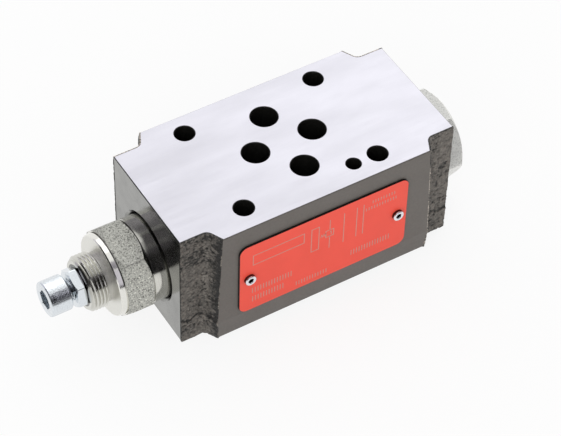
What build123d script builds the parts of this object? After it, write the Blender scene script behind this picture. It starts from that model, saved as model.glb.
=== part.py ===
from build123d import *
import math
import os

os.makedirs("parts", exist_ok=True)

# Hydraulic sandwich valve: an ISO 4401-03 (size 6) intermediate block that holds a direct
# relief cartridge between its A and T lines and a closing plug on its B side.
# Millimetres. The origin is the centre of the port pattern on the lower mounting face,
# X runs along the block with the adjuster at -X, Y points to the back and +Z is up.

# Cast block, plan view at the top face
block_height = 39.0
block_half_length = 41.9
front_y = -22.5
back_y = 21.75
end_front_y = -18.05
end_back_y = 17.35
wide_half_length = 31.7
notch_step_run = 2.2
notch_radius = 2.2
edge_break = 0.25

# Casting draft: the wide middle grows down to the parting line and shrinks again below it
parting_height = 6.6
upper_draft = 1.4
lower_draft = 0.5

# ISO 4401-03 ports, fixing holes and locating hole
port_radius = 3.75
port_p_y = -10.4
port_t_y = 10.4
port_a_x = -8.8
port_b_x = 8.7
bolt_radius = 2.75
bolt_left_x = -21.5
bolt_left_half_spacing = 15.5
bolt_right_x = 19.0
bolt_right_half_spacing = 16.25
locating_x = 11.5
locating_y = -16.25
locating_radius = 2.0
locating_depth = 5.0

# Port seals in the lower face, pressed flush as under bolt load
port_seal_seat = 2.65
port_seal_recess_depth = 1.35
port_seal_width = 1.74
seal_fit = 0.02
seal_roundness = 0.4

# Cross bore for the cartridge and the plug, in steps from the block's end face inwards
bore_y = -0.5
bore_z = 17.1
mouth_chamfer = 1.0
counterbore_depth = 3.4
collar_play = 0.2
seal_pocket_length = 2.2
seal_pocket_step = 0.7
block_thread_length = 9.3
block_thread_radius = 11.0
gallery_length = 8.6
gallery_radius = 10.2
lead_in = 0.9
nose_bore_radius = 7.0
nose_bore_room = 1.9
port_breakthrough = 1.45

# Cored return channel between both galleries and the T port
channel_radius = 2.5
channel_offset_y = 9.3
channel_offset_z = 5.6
channel_overlap = 2.0

# Outside that the cartridge and the plug share, from the collar to the sealed nose
hex_flats = 24.0
hex_chamfer = 0.9
thread_clearance = 0.05
thread_runout = 0.6
relief_depth = 1.15
waist_depth = 2.05
nose_length = 6.0
nose_overhang = 0.5
nose_play = 0.05
nose_chamfer = 0.5
groove_depth = 1.5
groove_width = 3.2
groove_setback = 1.3
nose_seal_width = 1.9
backup_width = 1.15

# Cartridge head
cartridge_collar_length = 7.8
cartridge_hex_length = 7.85
cartridge_hex_angle = 10.0
rim_step = 0.3
rim_length = 1.75
rim_chamfer = 0.25
undercut_depth = 0.95
undercut_length = 1.3
cap_thread_radius = 7.85
cap_thread_length = 5.2
cap_thread_chamfer = 0.7

# Plug head
plug_collar_length = 3.9
plug_hex_length = 8.2
plug_hex_angle = 0.0

# Inside of the cartridge and its pressed-in seat sleeve
chamber_radius = 6.0
sleeve_wall = 1.8
sleeve_grip_length = 8.6
seat_thickness = 3.5
seat_radius = 1.9
seat_inlet_chamfer = 0.6
outlet_offset = 5.2
outlet_radius = 1.4
outlet_play = 0.2
outlet_count = 4

# Poppet and spring plate
running_fit = 0.05
seat_gap = 0.03
cone_half_angle = 30.0
cone_tip_radius = 0.9
cone_base_radius = 3.0
poppet_neck_radius = 2.2
poppet_land_offset = 6.8
poppet_land_length = 4.6
poppet_stem_length = 5.2
drain_count = 3
drain_radius = 0.5
drain_circle_radius = 3.1
spring_plate_thickness = 1.8
spring_plate_play = 0.4

# Spring and the pilots that centre it
spring_length = 13.9
spring_wire_radius = 0.7
spring_side_play = 0.8
spring_turns = 5.5
spring_pilot_play = 0.6
spring_pilot_length = 1.6

# Spring carrier
carrier_length = 7.0
carrier_back_travel = 3.5
carrier_groove_offset = 2.5
carrier_groove_width = 2.2
carrier_groove_depth = 1.55
carrier_seal_play = 0.1

# Adjusting screw (M6 socket head) and its thin lock nut
screw_thread_radius = 3.0
screw_head_radius = 5.0
screw_head_length = 6.0
screw_head_chamfer = 0.45
screw_socket_flats = 5.0
screw_socket_depth = 3.0
screw_travel_in = 1.2
screw_head_spare = 0.1
nut_flats = 10.0
nut_thickness = 2.9
nut_chamfer = 0.35
nut_chamfer_slope = 30.0
nut_angle = 20.0

# Name plate and its two tubular pins
plate_centre_x = -1.0
plate_centre_z = 20.1
plate_width = 52.1
plate_height = 25.3
plate_corner_radius = 2.5
plate_sheet = 0.6
plate_edge_break = 0.12
plate_hole_play = 0.02
pin_edge_distance = 3.05
pin_radius = 1.6
pin_bore_radius = 0.75
pin_stand_out = 1.0
pin_depth = 3.0
pin_hole_spare = 0.2
pin_chamfer = 0.2

# Steps of the cross bore as distances from the block's centre
counterbore_bottom = block_half_length - counterbore_depth
seal_pocket_inner = counterbore_bottom - seal_pocket_length
gallery_end = seal_pocket_inner - block_thread_length
nose_bore_end = gallery_end - gallery_length

# Cartridge and plug as distances from the block's centre
cartridge_hex_start = counterbore_bottom + cartridge_collar_length
cartridge_hex_end = cartridge_hex_start + cartridge_hex_length
cartridge_face = cartridge_hex_end + rim_length
cap_thread_start = cartridge_face + undercut_length
nose_end = cap_thread_start + cap_thread_length
plug_hex_start = counterbore_bottom + plug_collar_length
plug_hex_end = plug_hex_start + plug_hex_length
thread_inner = gallery_end + thread_runout
waist_end = nose_bore_end + nose_overhang
nose_tip = waist_end - nose_length
groove_inner = nose_tip + groove_setback
groove_outer = groove_inner + groove_width

# The nose bore runs on until it clears the nose and opens into its port
port_reach = min(-port_a_x, port_b_x) + port_radius - port_breakthrough
cavity_bottom = min(nose_tip - nose_bore_room, port_reach)

# Working parts as distances from the block's centre
sleeve_end = waist_end + sleeve_grip_length
seat_position = nose_tip + seat_thickness
outlet_centre = seat_position + outlet_offset
poppet_land_start = seat_position + poppet_land_offset
poppet_land_end = poppet_land_start + poppet_land_length
poppet_stem_end = poppet_land_end + poppet_stem_length
plate_outer_face = poppet_land_end + spring_plate_thickness
carrier_inner_face = plate_outer_face + spring_length
carrier_outer_face = carrier_inner_face + carrier_length
carrier_groove_start = carrier_inner_face + carrier_groove_offset
carrier_groove_end = carrier_groove_start + carrier_groove_width
chamber_end = carrier_outer_face + carrier_back_travel
nut_outer_face = nose_end + nut_thickness
screw_head_rear = nut_outer_face + screw_travel_in + screw_head_spare
screw_end = screw_head_rear + screw_head_length

# Pins keep their distance from the plate's ends
pin_spacing = plate_width - 2 * pin_edge_distance

# Radii that follow from their partners
port_seal_recess_radius = port_radius + port_seal_seat
collar_radius = hex_flats / 2
counterbore_radius = collar_radius + collar_play
seal_pocket_radius = block_thread_radius + seal_pocket_step
hex_corner_radius = hex_flats / math.sqrt(3)
cartridge_thread_radius = block_thread_radius - thread_clearance
relief_radius = cartridge_thread_radius - relief_depth
waist_radius = cartridge_thread_radius - waist_depth
nose_land_radius = nose_bore_radius - nose_play
groove_root_radius = nose_land_radius - groove_depth
rim_radius = collar_radius - rim_step
undercut_radius = cap_thread_radius - undercut_depth
sleeve_bore_radius = chamber_radius - sleeve_wall
poppet_land_radius = sleeve_bore_radius - running_fit
spring_plate_radius = chamber_radius - spring_plate_play
spring_mean_radius = chamber_radius - spring_side_play - spring_wire_radius
spring_pilot_radius = spring_mean_radius - spring_wire_radius - spring_pilot_play
carrier_radius = chamber_radius - running_fit
carrier_groove_radius = carrier_radius - carrier_groove_depth
screw_radius = screw_thread_radius - running_fit
nut_corner_radius = nut_flats / math.sqrt(3)

bore_plane = Plane(origin=(0, bore_y, bore_z), x_dir=(1, 0, 0), z_dir=(0, -1, 0))
bore_axis = Axis((0, bore_y, bore_z), (1, 0, 0))
port_points = {
    "p": (0, port_p_y),
    "t": (0, port_t_y),
    "a": (port_a_x, 0),
    "b": (port_b_x, 0),
}
bolt_points = [
    (bolt_left_x, bolt_left_half_spacing),
    (bolt_left_x, -bolt_left_half_spacing),
    (bolt_right_x, bolt_right_half_spacing),
    (bolt_right_x, -bolt_right_half_spacing),
]


def cross_plane(distance, side):
    """Plane square to the cross bore, at a distance from the block's centre."""
    return Plane(origin=(side * distance, bore_y, bore_z), x_dir=(0, 1, 0), z_dir=(1, 0, 0))


def half_section(profile, side):
    """Closed (distance from centre, radius) outline beside the cross bore, to be revolved."""
    with BuildSketch(bore_plane) as section:
        with BuildLine():
            Polyline(*[(side * distance, radius) for distance, radius in profile], close=True)
        make_face()
    return section.sketch


def turn(profile, side, mode=Mode.ADD):
    """Revolve an outline about the cross bore."""
    revolve(half_section(profile, side), axis=bore_axis, mode=mode)


def rod(start, end, radius, side, mode=Mode.ADD):
    """Plain cylinder on the cross bore between two distances."""
    turn([(start, 0), (start, radius), (end, radius), (end, 0)], side, mode)


def hexagon(start, flats, angle, side):
    """Hexagon across the bore, a corner at the given angle from +Y, to be extruded."""
    with BuildSketch(cross_plane(start, side)) as outline:
        RegularPolygon(radius=flats / 2, side_count=6, major_radius=False, rotation=angle)
    return outline.sketch


def seal_section(inner, outer, centre, width):
    """Rounded section of an elastomer ring pressed into its groove beside the cross bore."""
    depth = outer - inner
    with BuildSketch(bore_plane) as section:
        with Locations((centre, (inner + outer) / 2)):
            RectangleRounded(width, depth, seal_roundness * min(width, depth))
    return section.sketch


def block_outline(height, half_length, set_back, inset):
    """Plan outline of the casting: wide middle, narrower ends and four corner notches.

    set_back draws in the front and back of the wide middle, inset draws in every face.
    """
    inner = half_length + notch_step_run
    right_side = [
        (half_length, back_y - set_back),
        (inner, end_back_y),
        (block_half_length, end_back_y),
        (block_half_length, end_front_y),
        (inner, end_front_y),
        (half_length, front_y + set_back),
    ]
    left_side = [(-x, y) for x, y in reversed(right_side)]
    with BuildSketch(Plane.XY.offset(height)) as outline:
        with BuildLine():
            Polyline(*right_side, *left_side, close=True)
        make_face()
        corners = outline.vertices().filter_by(lambda v: round(abs(v.X) - inner, 3) == 0)
        fillet(corners, notch_radius)
        if inset > 0:
            offset(amount=-inset, kind=Kind.INTERSECTION)
    return outline.sketch


# Cast block with all its machined faces, ports and cavities
bottom_half_length = wide_half_length + upper_draft - lower_draft
block_sections = [
    block_outline(0, bottom_half_length, lower_draft, edge_break),
    block_outline(edge_break, bottom_half_length, lower_draft, 0),
    block_outline(parting_height, wide_half_length + upper_draft, 0, 0),
    block_outline(block_height - edge_break, wide_half_length, 0, 0),
    block_outline(block_height, wide_half_length, 0, edge_break),
]
cavity_profile = [
    (cavity_bottom, 0),
    (cavity_bottom, nose_bore_radius),
    (nose_bore_end - lead_in, nose_bore_radius),
    (nose_bore_end, nose_bore_radius + lead_in),
    (nose_bore_end, gallery_radius),
    (gallery_end, gallery_radius),
    (gallery_end, block_thread_radius),
    (seal_pocket_inner, block_thread_radius),
    (seal_pocket_inner, seal_pocket_radius),
    (counterbore_bottom, seal_pocket_radius),
    (counterbore_bottom, counterbore_radius),
    (block_half_length - mouth_chamfer, counterbore_radius),
    (block_half_length, counterbore_radius + mouth_chamfer),
    (block_half_length, 0),
]
channel_plane = Plane(
    origin=(0, bore_y + channel_offset_y, bore_z + channel_offset_z),
    z_dir=(1, 0, 0),
)
with BuildPart() as valve_body:
    loft(block_sections, ruled=True)
    with Locations(*[(x, y, block_height) for x, y in port_points.values()]):
        Hole(port_radius, depth=block_height)
    with Locations(*[(x, y, block_height) for x, y in bolt_points]):
        Hole(bolt_radius, depth=block_height)
    with Locations((locating_x, locating_y, block_height)):
        Hole(locating_radius, depth=locating_depth)
    for end_face in (valve_body.faces().sort_by(Axis.Z)[-1], valve_body.faces().sort_by(Axis.Z)[0]):
        chamfer([edge for wire in end_face.inner_wires() for edge in wire.edges()], edge_break)
    with BuildSketch(Plane.XY):
        with Locations(*port_points.values()):
            Circle(port_seal_recess_radius)
    extrude(amount=port_seal_recess_depth, mode=Mode.SUBTRACT)
    for side in (-1, 1):
        turn(cavity_profile, side, Mode.SUBTRACT)
    with BuildSketch(channel_plane):
        Circle(channel_radius)
    extrude(amount=nose_bore_end + channel_overlap, both=True, mode=Mode.SUBTRACT)
    with BuildSketch(Plane.XZ.offset(-front_y)):
        with Locations((plate_centre_x, plate_centre_z)):
            with GridLocations(pin_spacing, 0, 2, 1):
                Circle(pin_radius)
    extrude(amount=-(pin_depth + pin_hole_spare), mode=Mode.SUBTRACT)
valve_body.part.label = "valve_body"
export_step(valve_body.part, "parts/valve_body.step")

# Four port seals lying flush in the lower face
port_seal_outer = port_seal_recess_radius - seal_fit
for port_name, (port_x, port_y) in port_points.items():
    with BuildPart() as port_seal:
        with BuildSketch(Plane(origin=(port_x, port_y, 0), x_dir=(1, 0, 0), z_dir=(0, -1, 0))):
            with Locations((port_seal_outer - port_seal_width / 2, port_seal_recess_depth / 2)):
                RectangleRounded(
                    port_seal_width,
                    port_seal_recess_depth - seal_fit,
                    seal_roundness * port_seal_recess_depth,
                )
        revolve(axis=Axis((port_x, port_y, 0), (0, 0, 1)))
    port_seal.part.label = "port_seal_" + port_name
    export_step(port_seal.part, "parts/port_seal_" + port_name + ".step")


def head_envelope(start, end):
    """Double cone that trims the corners of a spanner hexagon over the chamfer's length."""
    cone_radius = 2 * hex_corner_radius - hex_flats / 2
    return [
        (start, 0),
        (start, hex_flats / 2),
        (start + 2 * hex_chamfer, cone_radius),
        (end - 2 * hex_chamfer, cone_radius),
        (end, hex_flats / 2),
        (end, 0),
    ]


# Part of the outside that the cartridge and the plug share, from the collar to the waist
shared_outside = [
    (counterbore_bottom, collar_radius),
    (counterbore_bottom, relief_radius),
    (seal_pocket_inner, relief_radius),
    (seal_pocket_inner, cartridge_thread_radius - edge_break),
    (seal_pocket_inner - edge_break, cartridge_thread_radius),
    (thread_inner + edge_break, cartridge_thread_radius),
    (thread_inner, cartridge_thread_radius - edge_break),
    (thread_inner, waist_radius),
    (waist_end, waist_radius),
]
nose_outside = [
    (waist_end, nose_land_radius),
    (groove_outer, nose_land_radius),
    (groove_outer, groove_root_radius),
    (groove_inner, groove_root_radius),
    (groove_inner, nose_land_radius),
    (nose_tip + nose_chamfer, nose_land_radius),
    (nose_tip, nose_land_radius - nose_chamfer),
]

# Cartridge housing: collar, hexagon, turned rim and the threaded nose that guides the screw
cap_profile = [
    (cartridge_hex_end, 0),
    (cartridge_hex_end, rim_radius),
    (cartridge_face - rim_chamfer, rim_radius),
    (cartridge_face, rim_radius - rim_chamfer),
    (cartridge_face, undercut_radius),
    (cap_thread_start, undercut_radius),
    (cap_thread_start, cap_thread_radius - edge_break),
    (cap_thread_start + edge_break, cap_thread_radius),
    (nose_end - cap_thread_chamfer, cap_thread_radius),
    (nose_end, cap_thread_radius - cap_thread_chamfer),
    (nose_end, 0),
]
collar_profile = [
    (cartridge_hex_start, 0),
    (cartridge_hex_start, collar_radius),
    *shared_outside,
    (waist_end, 0),
]
with BuildPart() as cartridge_housing:
    extrude(
        hexagon(cartridge_hex_start, hex_flats, cartridge_hex_angle, -1),
        amount=-cartridge_hex_length,
    )
    turn(head_envelope(cartridge_hex_start, cartridge_hex_end), -1, Mode.INTERSECT)
    turn(collar_profile, -1)
    turn(cap_profile, -1)
    rod(waist_end, chamber_end, chamber_radius, -1, Mode.SUBTRACT)
    rod(chamber_end, nose_end, screw_thread_radius, -1, Mode.SUBTRACT)
    with Locations(cross_plane(outlet_centre, -1)):
        with PolarLocations(0, outlet_count):
            Cylinder(
                outlet_radius + outlet_play,
                2 * waist_radius,
                rotation=(90, 0, 0),
                mode=Mode.SUBTRACT,
            )
cartridge_housing.part.label = "cartridge_housing"
export_step(cartridge_housing.part, "parts/cartridge_housing.step")

# Seat sleeve pressed into the housing: sealed nose, seat orifice and poppet guide
sleeve_profile = [
    (sleeve_end, 0),
    (sleeve_end, chamber_radius),
    (waist_end, chamber_radius),
    *nose_outside,
    (nose_tip, 0),
]
seat_profile = [
    (nose_tip, 0),
    (nose_tip, seat_radius + seat_inlet_chamfer),
    (nose_tip + seat_inlet_chamfer, seat_radius),
    (seat_position, seat_radius),
    (seat_position, 0),
]
with BuildPart() as seat_sleeve:
    turn(sleeve_profile, -1)
    rod(seat_position, sleeve_end, sleeve_bore_radius, -1, Mode.SUBTRACT)
    turn(seat_profile, -1, Mode.SUBTRACT)
    with Locations(cross_plane(outlet_centre, -1)):
        with PolarLocations(0, outlet_count):
            Cylinder(outlet_radius, 2 * waist_radius, rotation=(90, 0, 0), mode=Mode.SUBTRACT)
seat_sleeve.part.label = "seat_sleeve"
export_step(seat_sleeve.part, "parts/seat_sleeve.step")

# Poppet: cone on the seat edge, waist, guide land with drain holes and spring stem
cone_slope = math.tan(math.radians(cone_half_angle))
cone_seat = seat_position + seat_gap
cone_tip = cone_seat - (seat_radius - cone_tip_radius) / cone_slope
cone_base = cone_seat + (cone_base_radius - seat_radius) / cone_slope
poppet_profile = [
    (cone_tip, 0),
    (cone_tip, cone_tip_radius),
    (cone_base, cone_base_radius),
    (cone_base, poppet_neck_radius),
    (poppet_land_start, poppet_neck_radius),
    (poppet_land_start, poppet_land_radius),
    (poppet_land_end, poppet_land_radius),
    (poppet_land_end, poppet_neck_radius),
    (poppet_stem_end - edge_break, poppet_neck_radius),
    (poppet_stem_end, poppet_neck_radius - edge_break),
    (poppet_stem_end, 0),
]
with BuildPart() as relief_poppet:
    turn(poppet_profile, -1)
    with BuildSketch(cross_plane(poppet_land_end, -1)):
        with PolarLocations(drain_circle_radius, drain_count):
            Circle(drain_radius)
    extrude(amount=poppet_land_length, mode=Mode.SUBTRACT)
relief_poppet.part.label = "relief_poppet"
export_step(relief_poppet.part, "parts/relief_poppet.step")

# Spring plate resting on the shoulder of the poppet
spring_plate_profile = [
    (poppet_land_end, poppet_neck_radius + running_fit),
    (poppet_land_end, spring_plate_radius),
    (plate_outer_face, spring_plate_radius),
    (plate_outer_face, spring_pilot_radius),
    (plate_outer_face + spring_pilot_length, spring_pilot_radius),
    (plate_outer_face + spring_pilot_length, poppet_neck_radius + running_fit),
]
with BuildPart() as spring_plate:
    turn(spring_plate_profile, -1)
    with BuildSketch(cross_plane(plate_outer_face, -1)):
        with PolarLocations(spring_mean_radius, drain_count):
            Circle(drain_radius)
    extrude(amount=spring_plate_thickness, mode=Mode.SUBTRACT)
spring_plate.part.label = "spring_plate"
export_step(spring_plate.part, "parts/spring_plate.step")

# Main spring: one helix whose end turns are ground flat against the plate and the carrier
helix_start = -(carrier_inner_face + spring_wire_radius)
with BuildPart() as main_spring:
    with BuildLine():
        coil = Helix(
            pitch=spring_length / spring_turns,
            height=spring_length + 2 * spring_wire_radius,
            radius=spring_mean_radius,
            center=(helix_start, bore_y, bore_z),
            direction=(1, 0, 0),
        )
    with BuildSketch(Plane(origin=coil @ 0, z_dir=coil % 0)):
        Circle(spring_wire_radius)
    sweep(is_frenet=True)
    rod(plate_outer_face, carrier_inner_face, chamber_radius, -1, Mode.INTERSECT)
main_spring.part.label = "main_spring"
export_step(main_spring.part, "parts/main_spring.step")

# Spring carrier: sliding piston that the screw pushes against the spring
carrier_profile = [
    (carrier_inner_face - spring_pilot_length, 0),
    (carrier_inner_face - spring_pilot_length, spring_pilot_radius),
    (carrier_inner_face, spring_pilot_radius),
    (carrier_inner_face, carrier_radius),
    (carrier_groove_start, carrier_radius),
    (carrier_groove_start, carrier_groove_radius),
    (carrier_groove_end, carrier_groove_radius),
    (carrier_groove_end, carrier_radius),
    (carrier_outer_face - edge_break, carrier_radius),
    (carrier_outer_face, carrier_radius - edge_break),
    (carrier_outer_face, 0),
]
with BuildPart() as spring_carrier:
    turn(carrier_profile, -1)
spring_carrier.part.label = "spring_carrier"
export_step(spring_carrier.part, "parts/spring_carrier.step")

# Adjusting screw: thread, head with chamfered rims and a hexagon socket
screw_profile = [
    (carrier_outer_face, 0),
    (carrier_outer_face, screw_radius - 2 * edge_break),
    (carrier_outer_face + 2 * edge_break, screw_radius),
    (screw_head_rear, screw_radius),
    (screw_head_rear, screw_head_radius - edge_break),
    (screw_head_rear + edge_break, screw_head_radius),
    (screw_end - screw_head_chamfer, screw_head_radius),
    (screw_end, screw_head_radius - screw_head_chamfer),
    (screw_end, 0),
]
with BuildPart() as adjusting_screw:
    turn(screw_profile, -1)
    extrude(
        hexagon(screw_end, screw_socket_flats, 0, -1),
        amount=screw_socket_depth,
        mode=Mode.SUBTRACT,
    )
adjusting_screw.part.label = "adjusting_screw"
export_step(adjusting_screw.part, "parts/adjusting_screw.step")

# Thin hexagon lock nut, tight against the end of the nose
nut_slope = math.tan(math.radians(nut_chamfer_slope))
nut_face_radius = nut_flats / 2 - nut_chamfer / 2
nut_trim_radius = nut_corner_radius + nut_chamfer
nut_trim_length = (nut_trim_radius - nut_face_radius) * nut_slope
nut_envelope = [
    (nose_end, 0),
    (nose_end, nut_face_radius),
    (nose_end + nut_trim_length, nut_trim_radius),
    (nut_outer_face - nut_trim_length, nut_trim_radius),
    (nut_outer_face, nut_face_radius),
    (nut_outer_face, 0),
]
with BuildPart() as lock_nut:
    extrude(hexagon(nose_end, nut_flats, nut_angle, -1), amount=-nut_thickness)
    turn(nut_envelope, -1, Mode.INTERSECT)
    rod(nose_end, nut_outer_face, screw_thread_radius, -1, Mode.SUBTRACT)
    for face_distance, inward in ((nose_end, 1), (nut_outer_face, -1)):
        turn(
            [
                (face_distance, 0),
                (face_distance, screw_thread_radius + nut_chamfer),
                (face_distance + inward * nut_chamfer, screw_thread_radius),
                (face_distance + inward * nut_chamfer, 0),
            ],
            -1,
            Mode.SUBTRACT,
        )
lock_nut.part.label = "lock_nut"
export_step(lock_nut.part, "parts/lock_nut.step")

# Closing plug for the B side: one turned piece with the same seat, thread and sealed nose
plug_profile = [
    (plug_hex_start, 0),
    (plug_hex_start, collar_radius),
    *shared_outside,
    *nose_outside,
    (nose_tip, 0),
]
with BuildPart() as closing_plug:
    extrude(hexagon(plug_hex_start, hex_flats, plug_hex_angle, 1), amount=plug_hex_length)
    turn(head_envelope(plug_hex_start, plug_hex_end), 1, Mode.INTERSECT)
    turn(plug_profile, 1)
closing_plug.part.label = "closing_plug"
export_step(closing_plug.part, "parts/closing_plug.step")

# Seals of both screwed-in pieces: ring under the collar, nose ring and its backup ring
head_seal_width = seal_pocket_length - 2 * seal_fit
head_seal_centre = seal_pocket_inner + seal_pocket_length / 2
nose_seal_centre = groove_inner + seal_fit + nose_seal_width / 2
backup_start = groove_inner + 2 * seal_fit + nose_seal_width
backup_profile = [
    (backup_start, groove_root_radius + seal_fit),
    (backup_start, nose_bore_radius - seal_fit),
    (backup_start + backup_width, nose_bore_radius - seal_fit),
    (backup_start + backup_width, groove_root_radius + seal_fit),
]
for prefix, side in (("cartridge", -1), ("plug", 1)):
    with BuildPart() as head_seal:
        head_section = seal_section(
            relief_radius + seal_fit,
            seal_pocket_radius - seal_fit,
            side * head_seal_centre,
            head_seal_width,
        )
        revolve(head_section, axis=bore_axis)
    head_seal.part.label = prefix + "_head_seal"
    export_step(head_seal.part, "parts/" + prefix + "_head_seal.step")
    with BuildPart() as nose_seal:
        nose_section = seal_section(
            groove_root_radius + seal_fit,
            nose_bore_radius - seal_fit,
            side * nose_seal_centre,
            nose_seal_width,
        )
        revolve(nose_section, axis=bore_axis)
    nose_seal.part.label = prefix + "_nose_seal"
    export_step(nose_seal.part, "parts/" + prefix + "_nose_seal.step")
    with BuildPart() as backup_ring:
        turn(backup_profile, side)
    backup_ring.part.label = prefix + "_backup_ring"
    export_step(backup_ring.part, "parts/" + prefix + "_backup_ring.step")

# Seal of the spring carrier
carrier_seal_centre = carrier_groove_start + carrier_groove_width / 2
with BuildPart() as carrier_seal:
    carrier_seal_section = seal_section(
        carrier_groove_radius + seal_fit,
        carrier_radius,
        -carrier_seal_centre,
        carrier_groove_width - 2 * carrier_seal_play,
    )
    revolve(carrier_seal_section, axis=bore_axis)
carrier_seal.part.label = "carrier_seal"
export_step(carrier_seal.part, "parts/carrier_seal.step")

# Name plate: thin sheet with rounded corners and two pin holes
with BuildPart() as name_plate:
    with BuildSketch(Plane.XZ.offset(-front_y)):
        with Locations((plate_centre_x, plate_centre_z)):
            RectangleRounded(plate_width, plate_height, plate_corner_radius)
            with GridLocations(pin_spacing, 0, 2, 1):
                Circle(pin_radius + plate_hole_play, mode=Mode.SUBTRACT)
    extrude(amount=plate_sheet)
    outer_edges = name_plate.faces().sort_by(Axis.Y)[0].outer_wire().edges()
    chamfer(outer_edges, plate_edge_break)
name_plate.part.label = "name_plate"
export_step(name_plate.part, "parts/name_plate.step")

# Tubular pins that hold the plate
for pin_name, direction in (("left", -1), ("right", 1)):
    pin_x = plate_centre_x + direction * pin_spacing / 2
    with BuildPart() as plate_pin:
        with BuildSketch(Plane.XZ.offset(-front_y - pin_depth)):
            with Locations((pin_x, plate_centre_z)):
                Circle(pin_radius)
                Circle(pin_bore_radius, mode=Mode.SUBTRACT)
        extrude(amount=pin_depth + plate_sheet + pin_stand_out)
        chamfer(plate_pin.faces().sort_by(Axis.Y)[0].edges(), pin_chamfer)
    plate_pin.part.label = "plate_pin_" + pin_name
    export_step(plate_pin.part, "parts/plate_pin_" + pin_name + ".step")
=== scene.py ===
import math

import bmesh
import bpy
import numpy as np
from bpy.props import FloatProperty, FloatVectorProperty, PointerProperty
from mathutils import Matrix, Vector


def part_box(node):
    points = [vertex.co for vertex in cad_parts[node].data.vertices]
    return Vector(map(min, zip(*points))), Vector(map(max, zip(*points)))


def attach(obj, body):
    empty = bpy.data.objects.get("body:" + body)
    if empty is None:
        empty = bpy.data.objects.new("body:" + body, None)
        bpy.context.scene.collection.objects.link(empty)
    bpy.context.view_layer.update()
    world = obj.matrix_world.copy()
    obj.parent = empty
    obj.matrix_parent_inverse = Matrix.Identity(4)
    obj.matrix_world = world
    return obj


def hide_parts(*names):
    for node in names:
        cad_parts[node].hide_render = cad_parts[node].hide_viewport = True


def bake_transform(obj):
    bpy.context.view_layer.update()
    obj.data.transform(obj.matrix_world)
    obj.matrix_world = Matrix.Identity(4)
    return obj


bl_info = {
    "name": "Hydraulic Sandwich Valve",
    "version": (1, 0, 0),
    "blender": (4, 5, 0),
    "location": "3D View > Sidebar > Valve",
    "description": "Finished surfaces for an ISO 4401-03 sandwich valve, built round its fixed frame",
    "category": "Add Mesh",
}

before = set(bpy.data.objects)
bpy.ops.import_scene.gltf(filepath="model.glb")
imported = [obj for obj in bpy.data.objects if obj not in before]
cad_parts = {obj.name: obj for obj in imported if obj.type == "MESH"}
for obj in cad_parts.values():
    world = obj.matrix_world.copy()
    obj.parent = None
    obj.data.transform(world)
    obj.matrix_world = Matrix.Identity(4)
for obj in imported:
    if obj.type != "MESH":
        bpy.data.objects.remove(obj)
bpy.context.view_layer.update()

MM = 0.001
FULL_TURN = 2 * math.pi
SIXTH_TURN = math.pi / 3
# Points that lie closer than this are one point
WELD = 1e-6
# A thread's row that comes closer than this to an end lies on it
SNAP = 5e-6
# Nearly all values of a noise texture lie in this band
NOISE_BAND = {"From Min": 0.3, "From Max": 0.7}
# Draws a grain out tenfold round the bore's axis, as a turning tool leaves its rings
TURNING_MARKS = (1, 0.1, 0.1)

# Places that come from the frame
BLOCK_LOW, BLOCK_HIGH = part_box("valve_body")
PLATE_LOW, PLATE_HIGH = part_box("name_plate")
PLATE_CENTRE = (PLATE_LOW + PLATE_HIGH) / 2
NOSE_END, CARTRIDGE_INNER = (corner.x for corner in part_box("cartridge_housing"))
SCREW_FRONT, SCREW_INNER = (corner.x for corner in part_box("adjusting_screw"))
NUT_FRONT, NUT_REAR = (corner.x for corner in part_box("lock_nut"))
PLUG_LOW, PLUG_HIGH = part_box("closing_plug")
BORE_Y = (PLUG_LOW.y + PLUG_HIGH.y) / 2
BORE_Z = (PLUG_LOW.z + PLUG_HIGH.z) / 2


def linear(hex_colour):
    """Linear colour of an sRGB hex value: each channel goes through the sRGB curve."""
    channels = np.array([int(hex_colour[at:at + 2], 16) for at in (0, 2, 4)]) / 255
    curved = ((channels + 0.055) / 1.055) ** 2.4
    return tuple(float(v) for v in np.where(channels <= 0.04045, channels / 12.92, curved))


def size(name, description, millimetres):
    """A length property whose default is given in millimetres."""
    return FloatProperty(
        name=name,
        description=description,
        default=millimetres * MM,
        min=0,
        unit="LENGTH",
        precision=5,
    )


def rotation(name, description, degrees):
    """An angle property whose default is given in degrees."""
    return FloatProperty(name=name, description=description, default=math.radians(degrees), unit="ROTATION")


def tint(name, description, hex_colour):
    """A colour property whose default is an sRGB hex value."""
    return FloatVectorProperty(
        name=name,
        description=description,
        default=linear(hex_colour),
        min=0,
        max=1,
        size=3,
        subtype="COLOR",
    )


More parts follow.
